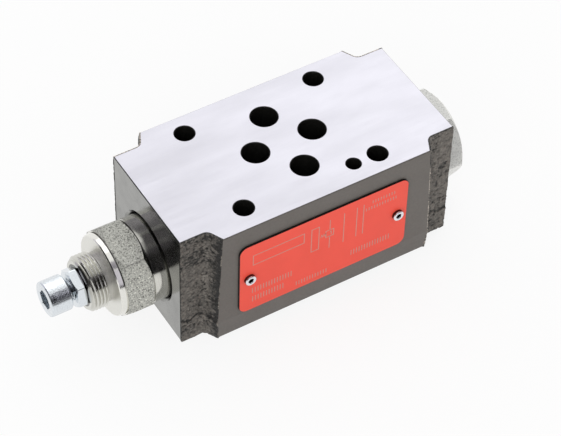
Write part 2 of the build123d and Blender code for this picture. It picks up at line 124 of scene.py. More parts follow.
class ValveHeadSizes(bpy.types.PropertyGroup):
    """Sizes of the cartridge, its adjuster and the closing plug."""

    hex_flats: size("Spanner flats", "Across flats of cartridge and plug hexagon", 24.0)
    hex_chamfer: size("Hexagon chamfer", "Length of the chamfer at a hexagon corner", 1.35)
    hex_corner_break: size("Corner break", "Drawn rounding of each hexagon corner", 0.12)
    collar_start: size("Collar seat", "Distance of both collars' seat from the centre", 38.5)
    cartridge_hex_start: size("Cartridge hexagon start", "Distance from the centre", 46.3)
    cartridge_hex_end: size("Cartridge hexagon end", "Distance from the centre", 54.15)
    plug_hex_start: size("Plug hexagon start", "Distance from the centre", 42.4)
    rim_radius: size("Rim radius", "Turned rim in front of the cartridge hexagon", 11.7)
    rim_end: size("Rim end", "Distance of the cartridge face from the centre", 55.9)
    undercut_radius: size("Undercut radius", "Runout groove behind the nose thread", 6.9)
    undercut_end: size("Undercut end", "Distance from the centre", 57.2)
    nose_radius: size("Nose thread radius", "Crest radius of the M16 nose thread", 7.85)
    nose_pitch: size("Nose thread pitch", "Pitch of the M16 fine thread", 1.0)
    nose_thread_depth: size("Nose thread depth", "Depth of the M16 thread", 0.613)
    rim_taper: size("Rim taper", "Growth of the rim's radius towards the hexagon", 0.2)
    groove: size("Groove", "Width and depth of the narrow grooves beside the hexagon", 0.3)
    block_thread_radius: size("Block thread radius", "Crest of the M22 body thread", 10.95)
    block_pitch: size("Block thread pitch", "Pitch of the M22 fine thread", 1.5)
    screw_radius: size("Screw thread radius", "Crest radius of the M6 screw", 2.95)
    screw_pitch: size("Screw thread pitch", "Pitch of the M6 coarse thread", 1.0)
    screw_head_radius: size("Screw head radius", "Radius of the socket head", 5.0)
    screw_head_length: size("Screw head length", "Length of the socket head", 6.0)
    knurl_depth: size("Knurl depth", "Depth of the worn knurl on the socket head", 0.04)
    socket_flats: size("Socket flats", "Across flats of the hexagon socket", 5.0)
    socket_depth: size("Socket depth", "Depth of the hexagon socket", 3.0)
    socket_chamfer: size("Socket chamfer", "Chamfer at the mouth of the socket", 0.15)
    screw_thread_depth: size("Screw thread depth", "Depth of the M6 thread", 0.61)
    screw_tail_chamfer: size("Screw tail chamfer", "Chamfer at the inner end of the screw", 0.5)
    head_front_edge: size("Head front edge", "Rounded front edge of the socket head", 0.45)
    nut_flats: size("Nut flats", "Across flats of the thin lock nut", 10.0)
    nut_corner_break: size("Nut corner break", "Drawn rounding of a nut's corner", 0.05)
    nut_bore: size("Nut bore", "Radius of the lock nut's hole", 3.0)
    nut_bore_chamfer: size("Nut bore chamfer", "Chamfer at both ends of the nut's hole", 0.35)
    nut_face_step: size("Nut face step", "How far the nut's round faces lie inside its flats", 0.175)
    edge_break: size("Edge break", "Broken edge of the rim and of the socket head", 0.25)
    pocket_length: size("Pocket length", "Plain stretch between collar seat and body thread", 2.2)
    relief_depth: size("Relief depth", "Depth of the plain stretch under the thread's crest", 1.15)
    waist_depth: size("Waist depth", "Depth of the body's waist under the thread's crest", 2.05)
    block_thread_end: size("Block thread end", "Distance of its inner end from the centre", 27.6)
    block_thread_depth: size("Block thread depth", "Depth of the M22 body thread", 0.9)
    block_thread_chamfer: size("Block thread chamfer", "Chamfer at both ends of the thread", 0.7)
    nose_chamfer: size("Nose chamfer", "Chamfer at the front of the nose thread", 0.95)
    chamber_radius: size("Chamber radius", "Bore that holds the carrier and the spring", 6.0)
    chamber_end: size("Chamber end", "Distance of the chamber's end from the centre", 54.0)
    screw_hole: size("Screw hole", "Radius of the hole that the screw passes", 3.0)
    screw_hole_chamfer: size("Screw hole chamfer", "Chamfer at the mouth of that hole", 0.4)
    # Painted shadow: the nut's shadow on the face of the nose is drawn as a dark ring out to this radius
    nut_shadow_radius: size("Oily radius", "How far old oil reaches on the face of the nose", 5.9)
    outlet_distance: size("Outlet distance", "Distance of the outlet holes from the centre", 21.6)
    outlet_radius: size("Outlet radius", "Radius of an outlet hole", 1.6)
    outlet_reach: size("Outlet reach", "Half the length that the outlet drill goes through", 12.0)
    plug_nose_radius: size("Plug nose radius", "Radius of the plug's sealed nose", 6.95)
    plug_nose_chamfer: size("Plug nose chamfer", "Chamfer at the tip of the plug", 0.5)
    plug_groove_radius: size("Plug groove radius", "Radius at the bottom of the seal groove", 5.45)
    plug_groove_start: size("Plug groove start", "Distance of the seal groove from the tip", 1.3)
    plug_groove_end: size("Plug groove end", "Distance of the groove's far wall from the tip", 4.5)
    spring_radius: size("Spring radius", "Mean radius of the main spring", 4.5)
    spring_wire_radius: size("Spring wire radius", "Radius of the spring's wire", 0.7)
    cartridge_corner: rotation("Cartridge corner", "Turn of a corner of its hexagon from the back", 10.0)
    plug_corner: rotation("Plug corner", "Turn of a corner of its hexagon from the back", 0.0)
    nut_corner: rotation("Nut corner", "Turn of a corner of its hexagon from the back", 20.0)
    nut_bevel: rotation("Nut bevel", "Slope of the cone that turns off the nut's corners", 30.0)


class ValveBlockSizes(bpy.types.PropertyGroup):
    """Sizes of the cast block's notches, of the plate's print and of its pins."""

    notch_end_front: size("Front end step", "Front face of the narrow ends, behind the axis", 18.05)
    notch_end_back: size("Back end step", "Back face of the narrow ends", 17.35)
    wide_half_length: size("Wide half length", "Half length of the wide middle at the top", 31.7)
    notch_run: size("Notch run", "Length of the slanted notch wall along the block", 2.2)
    notch_radius: size("Notch radius", "Fillet in the notch", 2.2)
    upper_draft: size("Upper draft", "Growth of the wide middle down to the parting line", 1.4)
    lower_draft: size("Lower draft", "Shrinkage below the parting line", 0.5)
    parting_height: size("Parting height", "Height of the casting's parting line", 6.6)
    skin_relief: size("Skin relief", "Height of the sand marks on the as-cast skin", 0.4)
    skin_least: size("Least skin", "Height of the skin in its deepest pits", 0.01)
    skin_root: size("Skin root", "Depth of the skin's hidden back under the notch", 0.3)
    skin_fade: size("Skin fade", "Height in which a back notch's relief fades under the top", 1.2)
    seam_height: size("Seam height", "Height of the fettled flash on the parting line", 0.45)
    print_width: size("Print line width", "Line width of the plate's print", 0.26)
    print_height: size("Print height", "Thickness of the print on the plate", 0.02)
    pin_radius: size("Pin radius", "Outer radius of a tubular pin", 1.6)
    pin_bore: size("Pin bore", "Inner radius of a tubular pin", 0.75)
    pin_fillet: size("Pin fillet", "Rounding of a pin's rim", 0.28)


class ValveColours(bpy.types.PropertyGroup):
    """Colours of the finishes."""

    ground_iron: tint("Ground iron", "Ground mounting faces", "D2D1D9")
    milled_iron: tint("Milled iron", "Bare milled ends of the block", "8C8C89")
    coated_iron: tint("Coated iron", "Phosphated front and back of the block", "69645F")
    cast_iron: tint("Cast skin", "As-cast skin in the notches", "625D57")
    # Painted shade: the bores are drawn darker than bare machined iron, partly for oil
    shaded_bore_iron: tint("Bore", "Oily machined bores", "2B2A27")
    plate: tint("Plate enamel", "Coral enamel of the name plate", "F95745")
    plate_edge: tint("Plate edge", "Dark cut edge of the name plate", "150D0B")
    ink: tint("Plate ink", "Pale print on the plate", "D29183")
    turned_steel: tint("Turned steel", "Turned and plated steel", "D2D1CA")
    rim_steel: tint("Rim steel", "Fine-turned rim of the cartridge", "E6E5DF")
    drawn_steel: tint("Hexagon steel", "Blasted cartridge hexagon", "B2B2AB")
    plug_steel: tint("Plug steel", "Finely blasted plug hexagon", "F0F0EC")
    pin_steel: tint("Pin steel", "Rolled steel of the tubular pins", "E6E6EA")
    zinc: tint("Zinc plating", "Blue zinc plating of screw and nut", "DDE2E6")
    hardened_steel: tint("Hardened steel", "Ground poppet, seat and spring plate", "9A9892")
    spring_steel: tint("Spring steel", "Oil-hardened spring wire", "4A4845")
    rubber: tint("Seal rubber", "Nitrile rubber of the seals", "1B1B1C")
    backup: tint("Backup ring", "Filled plastic of the backup rings", "D8D3C4")
    floor: tint("Floor", "Pale floor", "FBFBFB")
    dark_cloth: tint("Dark cloth", "Flags that leave dark lines in the metal", "3C3A42")
    grey_cloth: tint("Grey cloth", "Flags that leave pale grey bands in the metal", "E7E4EF")
    faded_cloth: tint("Faded cloth", "Tint of the flags that pale towards the top", "F5F0FF")


class ValveLight(bpy.types.PropertyGroup):
    """Levels of the studio light."""

    world: FloatProperty(name="World", description="Light from all round", default=0.62, min=0)
    top: FloatProperty(name="Top lamp", description="Softbox above and behind", default=4.2, min=0)
    side: FloatProperty(name="Side lamp", description="Softbox at the front left", default=6.5, min=0)


def bore_points(x, radius, angle):
    """Points round the cross bore: a radius turned by an angle from +Y towards +Z, at x."""
    x, radius, angle = np.broadcast_arrays(x, radius, angle)
    y = BORE_Y + radius * np.cos(angle)
    z = BORE_Z + radius * np.sin(angle)
    return np.stack((x, y, z), axis=-1)


def grid_quads(rows, columns):
    """Quads of a grid of points numbered row by row."""
    number = np.arange(rows * columns).reshape(rows, columns)
    corners = (number[:-1, :-1], number[:-1, 1:], number[1:, 1:], number[1:, :-1])
    return np.stack(corners, axis=-1).reshape(-1, 4)


def surface(name, grids, materials, sharp=25.0):
    """One object from several grids of points, welded where their points meet.

    grids is a list of (points as rows x columns x 3, material number) with a third entry where
    the material reads the attribute named tone: its value at each point, or one for all. Edges
    that bend by more than sharp degrees stay crisp.
    """
    mesh = bpy.data.meshes.new(name)
    points, quads, numbers, tones, start = [], [], [], [], 0
    for grid, number, *tone in grids:
        rows, columns = grid.shape[:2]
        faces = grid_quads(rows, columns) + start
        points.append(grid.reshape(-1, 3))
        quads.append(faces)
        numbers.append(np.full(len(faces), number))
        tones.append(np.broadcast_to(tone[0] if tone else 0.0, (rows, columns)).reshape(-1))
        start += rows * columns
    points, quads, numbers = np.concatenate(points), np.concatenate(quads), np.concatenate(numbers)
    mesh.from_pydata(points.tolist(), [], quads.tolist())
    for material in materials:
        mesh.materials.append(material)
    mesh.polygons.foreach_set("material_index", numbers.astype(np.int32))
    shade = mesh.attributes.new("tone", "FLOAT", "POINT")
    shade.data.foreach_set("value", np.concatenate(tones).astype(np.float32))
    shape = bmesh.new()
    shape.from_mesh(mesh)
    bmesh.ops.remove_doubles(shape, verts=shape.verts, dist=WELD)
    bmesh.ops.dissolve_degenerate(shape, edges=shape.edges, dist=WELD / 10)
    bmesh.ops.recalc_face_normals(shape, faces=shape.faces)
    shape.to_mesh(mesh)
    shape.free()
    mesh.polygons.foreach_set("use_smooth", np.ones(len(mesh.polygons), bool))
    mesh.set_sharp_from_angle(angle=math.radians(sharp))
    made = bpy.data.objects.new(name, mesh)
    bpy.context.scene.collection.objects.link(made)
    return made


def drill(target, sizes):
    """Bore the outlet holes along Y and along Z, each right through the closed housing.

    Each cutter is a cylinder with closed ends: circles of the hole's radius round its axis.
    """
    around = np.linspace(0, FULL_TURN, 41)
    along = sizes.outlet_reach * np.array([-1, -1, 1, 1])[:, None] + 0 * around
    radius = sizes.outlet_radius * np.array([0, 1, 1, 0])[:, None]
    x, across = radius * np.cos(around) - sizes.outlet_distance, radius * np.sin(around)
    for y, z in ((along, across), (across, along)):
        points = np.stack((x, BORE_Y + y, BORE_Z + z), axis=-1)
        cutter = surface("outlet_cutter", [(points, 0)], [])
        cut = target.modifiers.new("outlet", "BOOLEAN")
        cut.operation = "DIFFERENCE"
        cut.solver = "EXACT"
        cut.object = cutter
        shape = target.evaluated_get(bpy.context.evaluated_depsgraph_get())
        drilled = bpy.data.meshes.new_from_object(shape)
        target.modifiers.remove(cut)
        target.data = drilled
        bpy.data.objects.remove(cutter)


def piece(name, grids, materials, body, replaced=(), sharp=25.0):
    """A surface with its materials that rides on a body, where one is given, and stands for the replaced
    nodes.
    """
    made = surface(name, grids, materials, sharp)
    if body:
        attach(made, body)
    if replaced:
        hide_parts(*replaced)
    return made


def hexagon_angles(corner, fine=12):
    """Angles round a full turn that start at a corner of the hexagon and crowd near all six."""
    # Shares of a sixth of a turn
    near = np.array([0.0, 0.012, 0.03, 0.06])
    middle = np.linspace(0.1, 0.9, fine)
    shares = np.concatenate((near, middle, 1 - near[:0:-1]))
    sixths = (np.arange(6)[:, None] + shares).reshape(-1)
    return corner + np.append(sixths, 6.0) * SIXTH_TURN


def hexagon_radius(angles, corner, flats, corner_break):
    """Radius of a hexagon at each angle: half the flats over the cosine from the flat's middle."""
    from_middle = (angles - corner) % SIXTH_TURN - SIXTH_TURN / 2
    sharp = flats / 2 / np.cos(from_middle)
    return np.minimum(sharp, flats / math.sqrt(3) - corner_break)


def rings(angles, profile):
    """Rows of a turned surface through (x, radius) or (x, radius, darkening) places.

    Each value is a number or one for each angle.
    """
    rows = [[np.broadcast_to(value, angles.shape) for value in place] for place in profile]
    return np.moveaxis(np.array(rows), 1, 0)


def thread_rows(angles, start, end, crest, depth, pitch, chamfers=(0.0, 0.0)):
    """Rows of a right-hand screw thread between two x places.

    Each row keeps its place in the 60 degree profile and climbs one pitch in a turn, so its x is
    the row's phase times the pitch plus the share of the turn, held between both ends. The
    radius comes from the profile at that x, whose worn crest is a little conical, and stays
    under a 45 degree cone where an end is chamfered.
    """
    # Shares of the pitch, and the height over the crest there as a share of the depth
    phases = np.array([0.0, 0.04, 0.22, 0.25, 0.5, 0.54, 0.68, 0.72])
    heights = np.array([-0.14, -0.08, 0.0, -0.07, -0.93, -1.0, -1.0, -0.93]) * depth
    turns = int(math.ceil((end - start) / pitch)) + 1
    base = ((np.arange(-1, turns)[:, None] + phases) * pitch).reshape(-1)
    climb = (angles - angles[0]) / FULL_TURN * pitch
    x = np.clip(start + base[:, None] + climb, start, end)
    for place in (start, end):
        x = np.where(np.abs(x - place) < SNAP, place, x)
    phase = ((x - start - climb) / pitch) % 1.0
    radius = crest + np.interp(phase, np.append(phases, 1.0), np.append(heights, heights[0]))
    for place, chamfer in ((start, chamfers[0]), (end, chamfers[1])):
        if chamfer:
            radius = np.minimum(radius, crest - chamfer + np.abs(x - place))
    return x, radius


def groove_oil_and_shade(points, crest, depth, most):
    """Old oil and painted shade in a thread: its share grows with the square of the depth under the crest.
    """
    radius = np.hypot(points[..., 1] - BORE_Y, points[..., 2] - BORE_Z)
    return most * np.clip((crest - radius) / depth, 0, 1) ** 2


def hexagon_rows(angles, start, end, corner, sizes):
    """Rows of a spanner hexagon whose corners are turned off by a cone at both ends.

    The cone meets each flat in a curve, and the two middle rows follow it: they lie in from
    the ends by the chamfer's length times the share of the corner's height at that angle.
    """
    half = sizes.hex_flats / 2
    outline = hexagon_radius(angles, corner, sizes.hex_flats, sizes.hex_corner_break)
    rise = (outline - half) / (sizes.hex_flats / math.sqrt(3) - half) * sizes.hex_chamfer
    rise = math.copysign(1.0, end - start) * rise
    return rings(angles, [(start, half), (start + rise, outline), (end - rise, outline), (end, half)])


def knurl_rows(angles, start, end, radius, depth, count):
    """Rows of a worn diamond knurl.

    The radius sinks by the depth times one less the product of two cosine waves, which wind
    round the head in opposite directions, over two, and fades out at both ends.
    """
    fade_length, row_count = 0.4 * MM, 56
    rows = np.linspace(start, end, row_count)[:, None]
    wave = count * (rows - start) / radius
    diamonds = np.cos(count * angles + wave) * np.cos(count * angles - wave)
    fade = np.clip(np.minimum(np.abs(rows - start), np.abs(rows - end)) / fade_length, 0, 1)
    x = np.broadcast_to(rows, diamonds.shape)
    return x, radius - depth * fade * (1 - diamonds) / 2


def add(tree, kind, settings=None, inputs=None):
    """Add one node, set its settings and fill its inputs with values or with links.

    An input is named, or numbered where names repeat; a node given as a value links its first
    enabled output.
    """
    made = tree.nodes.new(kind)
    for key, value in (settings or {}).items():
        setattr(made, key, value)
    for key, value in (inputs or {}).items():
        if isinstance(key, str):
            socket = next(s for s in made.inputs if s.enabled and s.name == key)
        else:
            socket = made.inputs[key]
        if isinstance(value, bpy.types.Node):
            value = next(s for s in value.outputs if s.enabled)
        if isinstance(value, bpy.types.NodeSocket):
            tree.links.new(value, socket)
        else:
            socket.default_value = value
    return made


def start_material(name):
    """A new material with an empty node tree, and the Object coordinates that it reads."""
    material = bpy.data.materials.new(name)
    material.use_nodes = True
    tree = material.node_tree
    tree.nodes.clear()
    place = add(tree, "ShaderNodeTexCoord").outputs["Object"]
    return material, tree, place


def finish_material(tree, inputs):
    """Close a material with its one surface shader."""
    shader = add(tree, "ShaderNodeBsdfPrincipled", None, inputs)
    add(tree, "ShaderNodeOutputMaterial", None, {"Surface": shader})


def per_mm(millimetres):
    """Scale that repeats a texture once in so many millimetres."""
    return 1 / (millimetres * MM)


def block_masks(tree, parts):
    """Masks of the block's ends, of its front and back, and of its top and bottom.

    Each is 1 at a face and 0 deeper in, from the distance to the block's middle along one axis.
    """
    middle = (BLOCK_LOW + BLOCK_HIGH) / 2
    masks = []
    # How many millimetres under the face a mask begins and where it is full
    for axis, begin, full in (("x", 0.75, 0.65), ("y", 1.0, 0.7), ("z", 0.06, 0.02)):
        centre, face = getattr(middle, axis), getattr(BLOCK_HIGH, axis)
        inputs = {0: parts.outputs[axis.upper()], 1: centre}
        offset = add(tree, "ShaderNodeMath", {"operation": "SUBTRACT"}, inputs)
        distance = add(tree, "ShaderNodeMath", {"operation": "ABSOLUTE"}, {0: offset})
        band = {"From Min": face - centre - begin * MM, "From Max": face - centre - full * MM}
        masks.append(add(tree, "ShaderNodeMapRange", None, {"Value": distance, **band}))
    return masks


def machined_iron(colours):
    """Grey cast iron block: ground top and bottom, milled ends, phosphated sides, bores dark with oil and
    painted shade.

    Grinding leaves long fine scratches along the block and faint smudges, and painted light
    makes the ground faces lighter towards the plug. Milling leaves a sheen that mirrors softly,
    and phosphating a matt dark grey-brown. Scratches are drawn coarser than real ones so that
    they show.
    """
    material, tree, place = start_material("machined_cast_iron")
    parts = add(tree, "ShaderNodeSeparateXYZ", None, {"Vector": place})
    ends, sides, faces = block_masks(tree, parts)
    grain = add(tree, "ShaderNodeTexNoise", None, {"Vector": place, "Scale": per_mm(0.7), "Detail": 4.0})
    mottle = add(tree, "ShaderNodeTexNoise", None, {"Vector": place, "Scale": per_mm(5.0), "Detail": 5.0})
    stretch = {"Vector": place, "Scale": (per_mm(14), per_mm(0.5), per_mm(0.5))}
    stretched = add(tree, "ShaderNodeMapping", None, stretch)
    scratches = add(tree, "ShaderNodeTexNoise", None, {"Vector": stretched, "Scale": 1.0, "Detail": 5.0})
    stretch = {"Vector": place, "Scale": (per_mm(22), per_mm(8), per_mm(8)), "Rotation": (0, 0, 0.35)}
    stretched = add(tree, "ShaderNodeMapping", None, stretch)
    smudges = add(tree, "ShaderNodeTexNoise", None, {"Vector": stretched, "Scale": 1.0, "Detail": 6.0})
    # Painted light: the ground faces are drawn lighter towards the plug, as the light falls there
    along = {"Value": parts.outputs["X"], "From Min": BLOCK_LOW.x, "From Max": BLOCK_HIGH.x}
    painted_light_ramp = add(tree, "ShaderNodeMapRange", None, {**along, "To Min": 0.98, "To Max": 1.12})

    # Mask, colour and its gain, noise and range of the shade, then of the roughness, and how
    # metallic it is; each covers the one before where its mask is 1
    finishes = (
        (None, colours.shaded_bore_iron, 1.0, grain, (0.7, 1.2), grain, (0.35, 0.5), 0.6),
        (sides, colours.coated_iron, 1.0, grain, (0.93, 1.07), mottle, (0.42, 0.5), 0.25),
        (ends, colours.milled_iron, 1.0, mottle, (0.86, 1.14), scratches, (0.13, 0.19), 1.0),
        (faces, colours.ground_iron, painted_light_ramp, smudges, (0.92, 1.05), scratches, (0.34, 0.46), 0.6),
    )
    for mask, face_colour, gain, shade_noise, shades, gloss_noise, glosses, metal in finishes:
        levels = []
        for noise, (low, high) in ((shade_noise, shades), (gloss_noise, glosses)):
            inputs = {"Value": noise, **NOISE_BAND, "To Min": low, "To Max": high}
            levels.append(add(tree, "ShaderNodeMapRange", None, inputs))
        shade = add(tree, "ShaderNodeMath", {"operation": "MULTIPLY"}, {0: levels[0], 1: gain})
        inputs = {0: tuple(face_colour), "Scale": shade}
        paint = add(tree, "ShaderNodeVectorMath", {"operation": "SCALE"}, inputs)
        looks = [("RGBA", paint), ("FLOAT", levels[1]), ("FLOAT", metal)]
        if mask is None:
            under = [look for _, look in looks]
            continue
        for number, (kind, over) in enumerate(looks):
            inputs = {"Factor": mask, "A": under[number], "B": over}
            under[number] = add(tree, "ShaderNodeMix", {"data_type": kind}, inputs)
    colour, roughness, metallic = under
    bump = add(tree, "ShaderNodeBump", None, {"Height": scratches, "Distance": 0.02 * MM, "Strength": 0.5})
    inputs = {"Base Color": colour, "Roughness": roughness, "Metallic": metallic, "Normal": bump}
    finish_material(tree, inputs)
    return material


def grained_finish(name, colour, roughness, grain_mm, contrast, relief_mm, metallic=1.0, stretch=(1, 1, 1)):
    """A finish whose grain of a real size changes its colour, gloss and relief a little.

    Where a piece has the tone attribute, it is the share that darkens it: mostly painted shade
    and painted reflection, and old oil in the threads.
    """
    material, tree, place = start_material(name)
    darkening = add(tree, "ShaderNodeAttribute", {"attribute_name": "tone"}).outputs["Fac"]
    bare = add(tree, "ShaderNodeMath", {"operation": "SUBTRACT", "use_clamp": True}, {0: 1.0, 1: darkening})
    scale = tuple(share * per_mm(grain_mm) for share in stretch)
    grain_place = add(tree, "ShaderNodeMapping", None, {"Vector": place, "Scale": scale})
    grain = add(tree, "ShaderNodeTexNoise", None, {"Vector": grain_place, "Scale": 1.0, "Detail": 4.0})
    inputs = {"Value": grain, **NOISE_BAND, "To Min": 1 - contrast, "To Max": 1 + contrast}
    level = add(tree, "ShaderNodeMapRange", None, inputs)
    level = add(tree, "ShaderNodeMath", {"operation": "MULTIPLY"}, {0: level, 1: bare})
    base = add(tree, "ShaderNodeVectorMath", {"operation": "SCALE"}, {0: tuple(colour), "Scale": level})
    inputs = {"Value": grain, **NOISE_BAND, "To Min": roughness * 0.85, "To Max": roughness * 1.15}
    gloss = add(tree, "ShaderNodeMapRange", None, inputs)
    inputs = {"Height": grain, "Distance": relief_mm * MM, "Strength": 0.6}
    bump = add(tree, "ShaderNodeBump", None, inputs)
    finish_material(tree, {"Base Color": base, "Roughness": gloss, "Metallic": metallic, "Normal": bump})
    return material


def turned_steel(name, colour, roughness):
    """Steel turned and plated: fine rings round the axis draw each reflection out along it.

    The rings are drawn more than twice as far apart as real ones so that they show.
    """
    return grained_finish(
        name,
        colour,
        roughness,
        grain_mm=0.25,
        contrast=0.04,
        relief_mm=0.004,
        stretch=TURNING_MARKS,
    )


def satin_steel(name, colour):
    """Collar turned with a sharp tool: a mirror with faint broad rings and patches."""
    return grained_finish(
        name,
        colour,
        roughness=0.13,
        grain_mm=0.4,
        contrast=0.08,
        relief_mm=0.006,
        stretch=TURNING_MARKS,
    )


def faced_steel(colours):
    """Shoulder faced across its end: a pale matt disc that mirrors nothing sharply."""
    return grained_finish(
        "faced_shoulder_steel",
        colours.rim_steel,
        roughness=0.36,
        grain_mm=0.4,
        contrast=0.05,
        relief_mm=0.006,
    )


def rim_steel(colours):
    """Rim turned with a fine feed: the brightest ring, nearly a mirror."""
    return grained_finish(
        "fine_turned_rim_steel",
        colours.rim_steel,
        roughness=0.16,
        grain_mm=0.25,
        contrast=0.03,
        relief_mm=0.003,
    )


def pin_steel(colours):
    """Rolled and tumbled pin: bright and smooth, with painted shade in its bore."""
    return grained_finish(
        "bright_pin_steel",
        colours.pin_steel,
        roughness=0.22,
        grain_mm=0.4,
        contrast=0.04,
        relief_mm=0.004,
    )


def print_ink(colours):
    """Screen-printed ink: thin, even and matt, a little paler than the enamel."""
    return grained_finish(
        "screen_print_ink",
        colours.ink,
        roughness=0.5,
        grain_mm=1.5,
        contrast=0.06,
        relief_mm=0.005,
        metallic=0.0,
    )


def zinc_plating(colours):
    """Blue-passivated zinc on smooth steel: bright, cool and nearly a mirror."""
    return grained_finish(
        "blue_zinc_plating",
        colours.zinc,
        roughness=0.12,
        grain_mm=0.6,
        contrast=0.03,
        relief_mm=0.004,
    )


def knurled_zinc(colours):
    """The same zinc on the knurled head, where the worn diamonds break it into glints.

    The grain is a little finer than half a diamond.
    """
    return grained_finish(
        "knurled_zinc_plating",
        colours.zinc,
        roughness=0.14,
        grain_mm=0.34,
        contrast=0.1,
        relief_mm=0.12,
    )


def ground_steel(colours):
    """Hardened and ground steel of the poppet and its seat: grey with a soft sheen."""
    return grained_finish(
        "hardened_ground_steel",
        colours.hardened_steel,
        roughness=0.2,
        grain_mm=0.3,
        contrast=0.05,
        relief_mm=0.004,
    )


def carrier_steel(colours):
    """Turned carrier without plating: duller than the outer pieces."""
    return grained_finish(
        "turned_carrier_steel",
        colours.turned_steel,
        roughness=0.3,
        grain_mm=0.3,
        contrast=0.05,
        relief_mm=0.006,
    )


def spring_wire(colours):
    """Oil-hardened spring wire: dark, with a dull shine."""
    return grained_finish(
        "oil_hardened_wire",
        colours.spring_steel,
        roughness=0.35,
        grain_mm=0.5,
        contrast=0.1,
        relief_mm=0.01,
        metallic=0.9,
    )


def nitrile_rubber(colours):
    """Moulded nitrile rubber: matt black with a faint bloom."""
    return grained_finish(
        "moulded_nitrile_rubber",
        colours.rubber,
        roughness=0.55,
        grain_mm=0.5,
        contrast=0.15,
        relief_mm=0.01,
        metallic=0.0,
    )


def backup_plastic(colours):
    """Turned filled plastic: ivory, with a waxy shine."""
    return grained_finish(
        "filled_backup_plastic",
        colours.backup,
        roughness=0.4,
        grain_mm=0.5,
        contrast=0.05,
        relief_mm=0.005,
        metallic=0.0,
    )


def blasted_steel(name, colour, darkest, brightest):
    """Hexagon bar, shot-blasted and plated: a sandy skin of small bright and dark specks.

    The specks are drawn about twice their real size so that they show, and darkest and
    brightest are how far they shift the colour. The tone attribute is painted shade: how much
    darker a flat is drawn than the next, for how the light falls on it.
    """
    material, tree, place = start_material(name)
    painted_flat_shade = add(tree, "ShaderNodeAttribute", {"attribute_name": "tone"}).outputs["Fac"]
    level = add(tree, "ShaderNodeMath", {"operation": "SUBTRACT"}, {0: 1.0, 1: painted_flat_shade})
    # Size in millimetres and shift of each noise, the band of its values, and their two levels
    noises = []
    for size_mm, shift, start, end, low, high in (
        (0.4, 0.0, 0.35, 0.5, darkest, 1.0),
        (0.4, 3.7, 0.53, 0.64, 1.0, brightest),
        (6.0, 8.1, 0.3, 0.7, 0.92, 1.08),
    ):
        inputs = {"Vector": place, "Location": (shift, shift, shift)}
        moved = add(tree, "ShaderNodeMapping", None, inputs)
        inputs = {"Vector": moved, "Scale": per_mm(size_mm), "Detail": 3.0, "Roughness": 0.6}
        noises.append(add(tree, "ShaderNodeTexNoise", None, inputs))
        inputs = {"From Min": start, "From Max": end, "To Min": low, "To Max": high}
        speck = add(tree, "ShaderNodeMapRange", None, {"Value": noises[-1], **inputs})
        level = add(tree, "ShaderNodeMath", {"operation": "MULTIPLY"}, {0: level, 1: speck})
    base = add(tree, "ShaderNodeVectorMath", {"operation": "SCALE"}, {0: tuple(colour), "Scale": level})
    bump = add(tree, "ShaderNodeBump", None, {"Height": noises[0], "Distance": 0.08 * MM, "Strength": 0.7})
    finish_material(tree, {"Base Color": base, "Roughness": 0.42, "Metallic": 0.55, "Normal": bump})
    return material


def sand_cast_iron(colours):
    """As-cast iron skin under thin phosphate: matt grey-brown, with dark scale in its hollows.

    The tone attribute says how clean each point is, with painted shade and highlight in it, and
    fine grain breaks up both colours.
    """
    material, tree, place = start_material("as_cast_iron")
    clean_and_lit = add(tree, "ShaderNodeAttribute", {"attribute_name": "tone"}).outputs["Fac"]
    grain = add(tree, "ShaderNodeTexNoise", None, {"Vector": place, "Scale": per_mm(0.6), "Detail": 5.0})
    inputs = {"Value": grain, **NOISE_BAND, "To Min": -0.38, "To Max": 0.38}
    broken = add(tree, "ShaderNodeMapRange", None, inputs)
    share = add(tree, "ShaderNodeMath", {"operation": "ADD"}, {0: clean_and_lit, 1: broken})
    share = add(tree, "ShaderNodeMath", {"operation": "MAXIMUM"}, {0: share, 1: 0.0})
    scale_colour = tuple(0.12 * channel for channel in colours.cast_iron)
    light_colour = tuple(1.5 * channel for channel in colours.cast_iron)
    settings = {"data_type": "RGBA", "clamp_factor": False}
    inputs = {"Factor": share, "A": (*scale_colour, 1), "B": (*light_colour, 1)}
    base = add(tree, "ShaderNodeMix", settings, inputs)
    bump = add(tree, "ShaderNodeBump", None, {"Height": grain, "Distance": 0.15 * MM, "Strength": 0.7})
    finish_material(tree, {"Base Color": base, "Roughness": 0.55, "Metallic": 0.2, "Normal": bump})
    return material


def plate_enamel(colours):
    """Aluminium sheet with baked satin enamel on its face and a dark cut edge.

    The enamel has a faint cloud of its own colour and a fine orange peel.
    """
    material, tree, place = start_material("enamelled_aluminium")
    normal = add(tree, "ShaderNodeNewGeometry").outputs["True Normal"]
    across = add(tree, "ShaderNodeSeparateXYZ", None, {"Vector": normal}).outputs["Y"]
    facing = add(tree, "ShaderNodeMapRange", None, {"Value": across, "From Min": -0.9, "From Max": -0.95})
    cloud = add(tree, "ShaderNodeTexNoise", None, {"Vector": place, "Scale": per_mm(9), "Detail": 4.0})
    inputs = {"Value": cloud, **NOISE_BAND, "To Min": 0.97, "To Max": 1.03}
    level = add(tree, "ShaderNodeMapRange", None, inputs)
    inputs = {0: tuple(colours.plate), "Scale": level}
    enamel = add(tree, "ShaderNodeVectorMath", {"operation": "SCALE"}, inputs)
    inputs = {"Factor": facing, "A": (*colours.plate_edge, 1), "B": enamel}
    base = add(tree, "ShaderNodeMix", {"data_type": "RGBA"}, inputs)
    peel = add(tree, "ShaderNodeTexNoise", None, {"Vector": place, "Scale": per_mm(0.9), "Detail": 2.0})
    bump = add(tree, "ShaderNodeBump", None, {"Height": peel, "Distance": 0.01 * MM, "Strength": 0.4})
    inputs = {"Base Color": base, "Roughness": 0.45, "Specular IOR Level": 0.35, "Normal": bump}
    finish_material(tree, inputs)
    return material


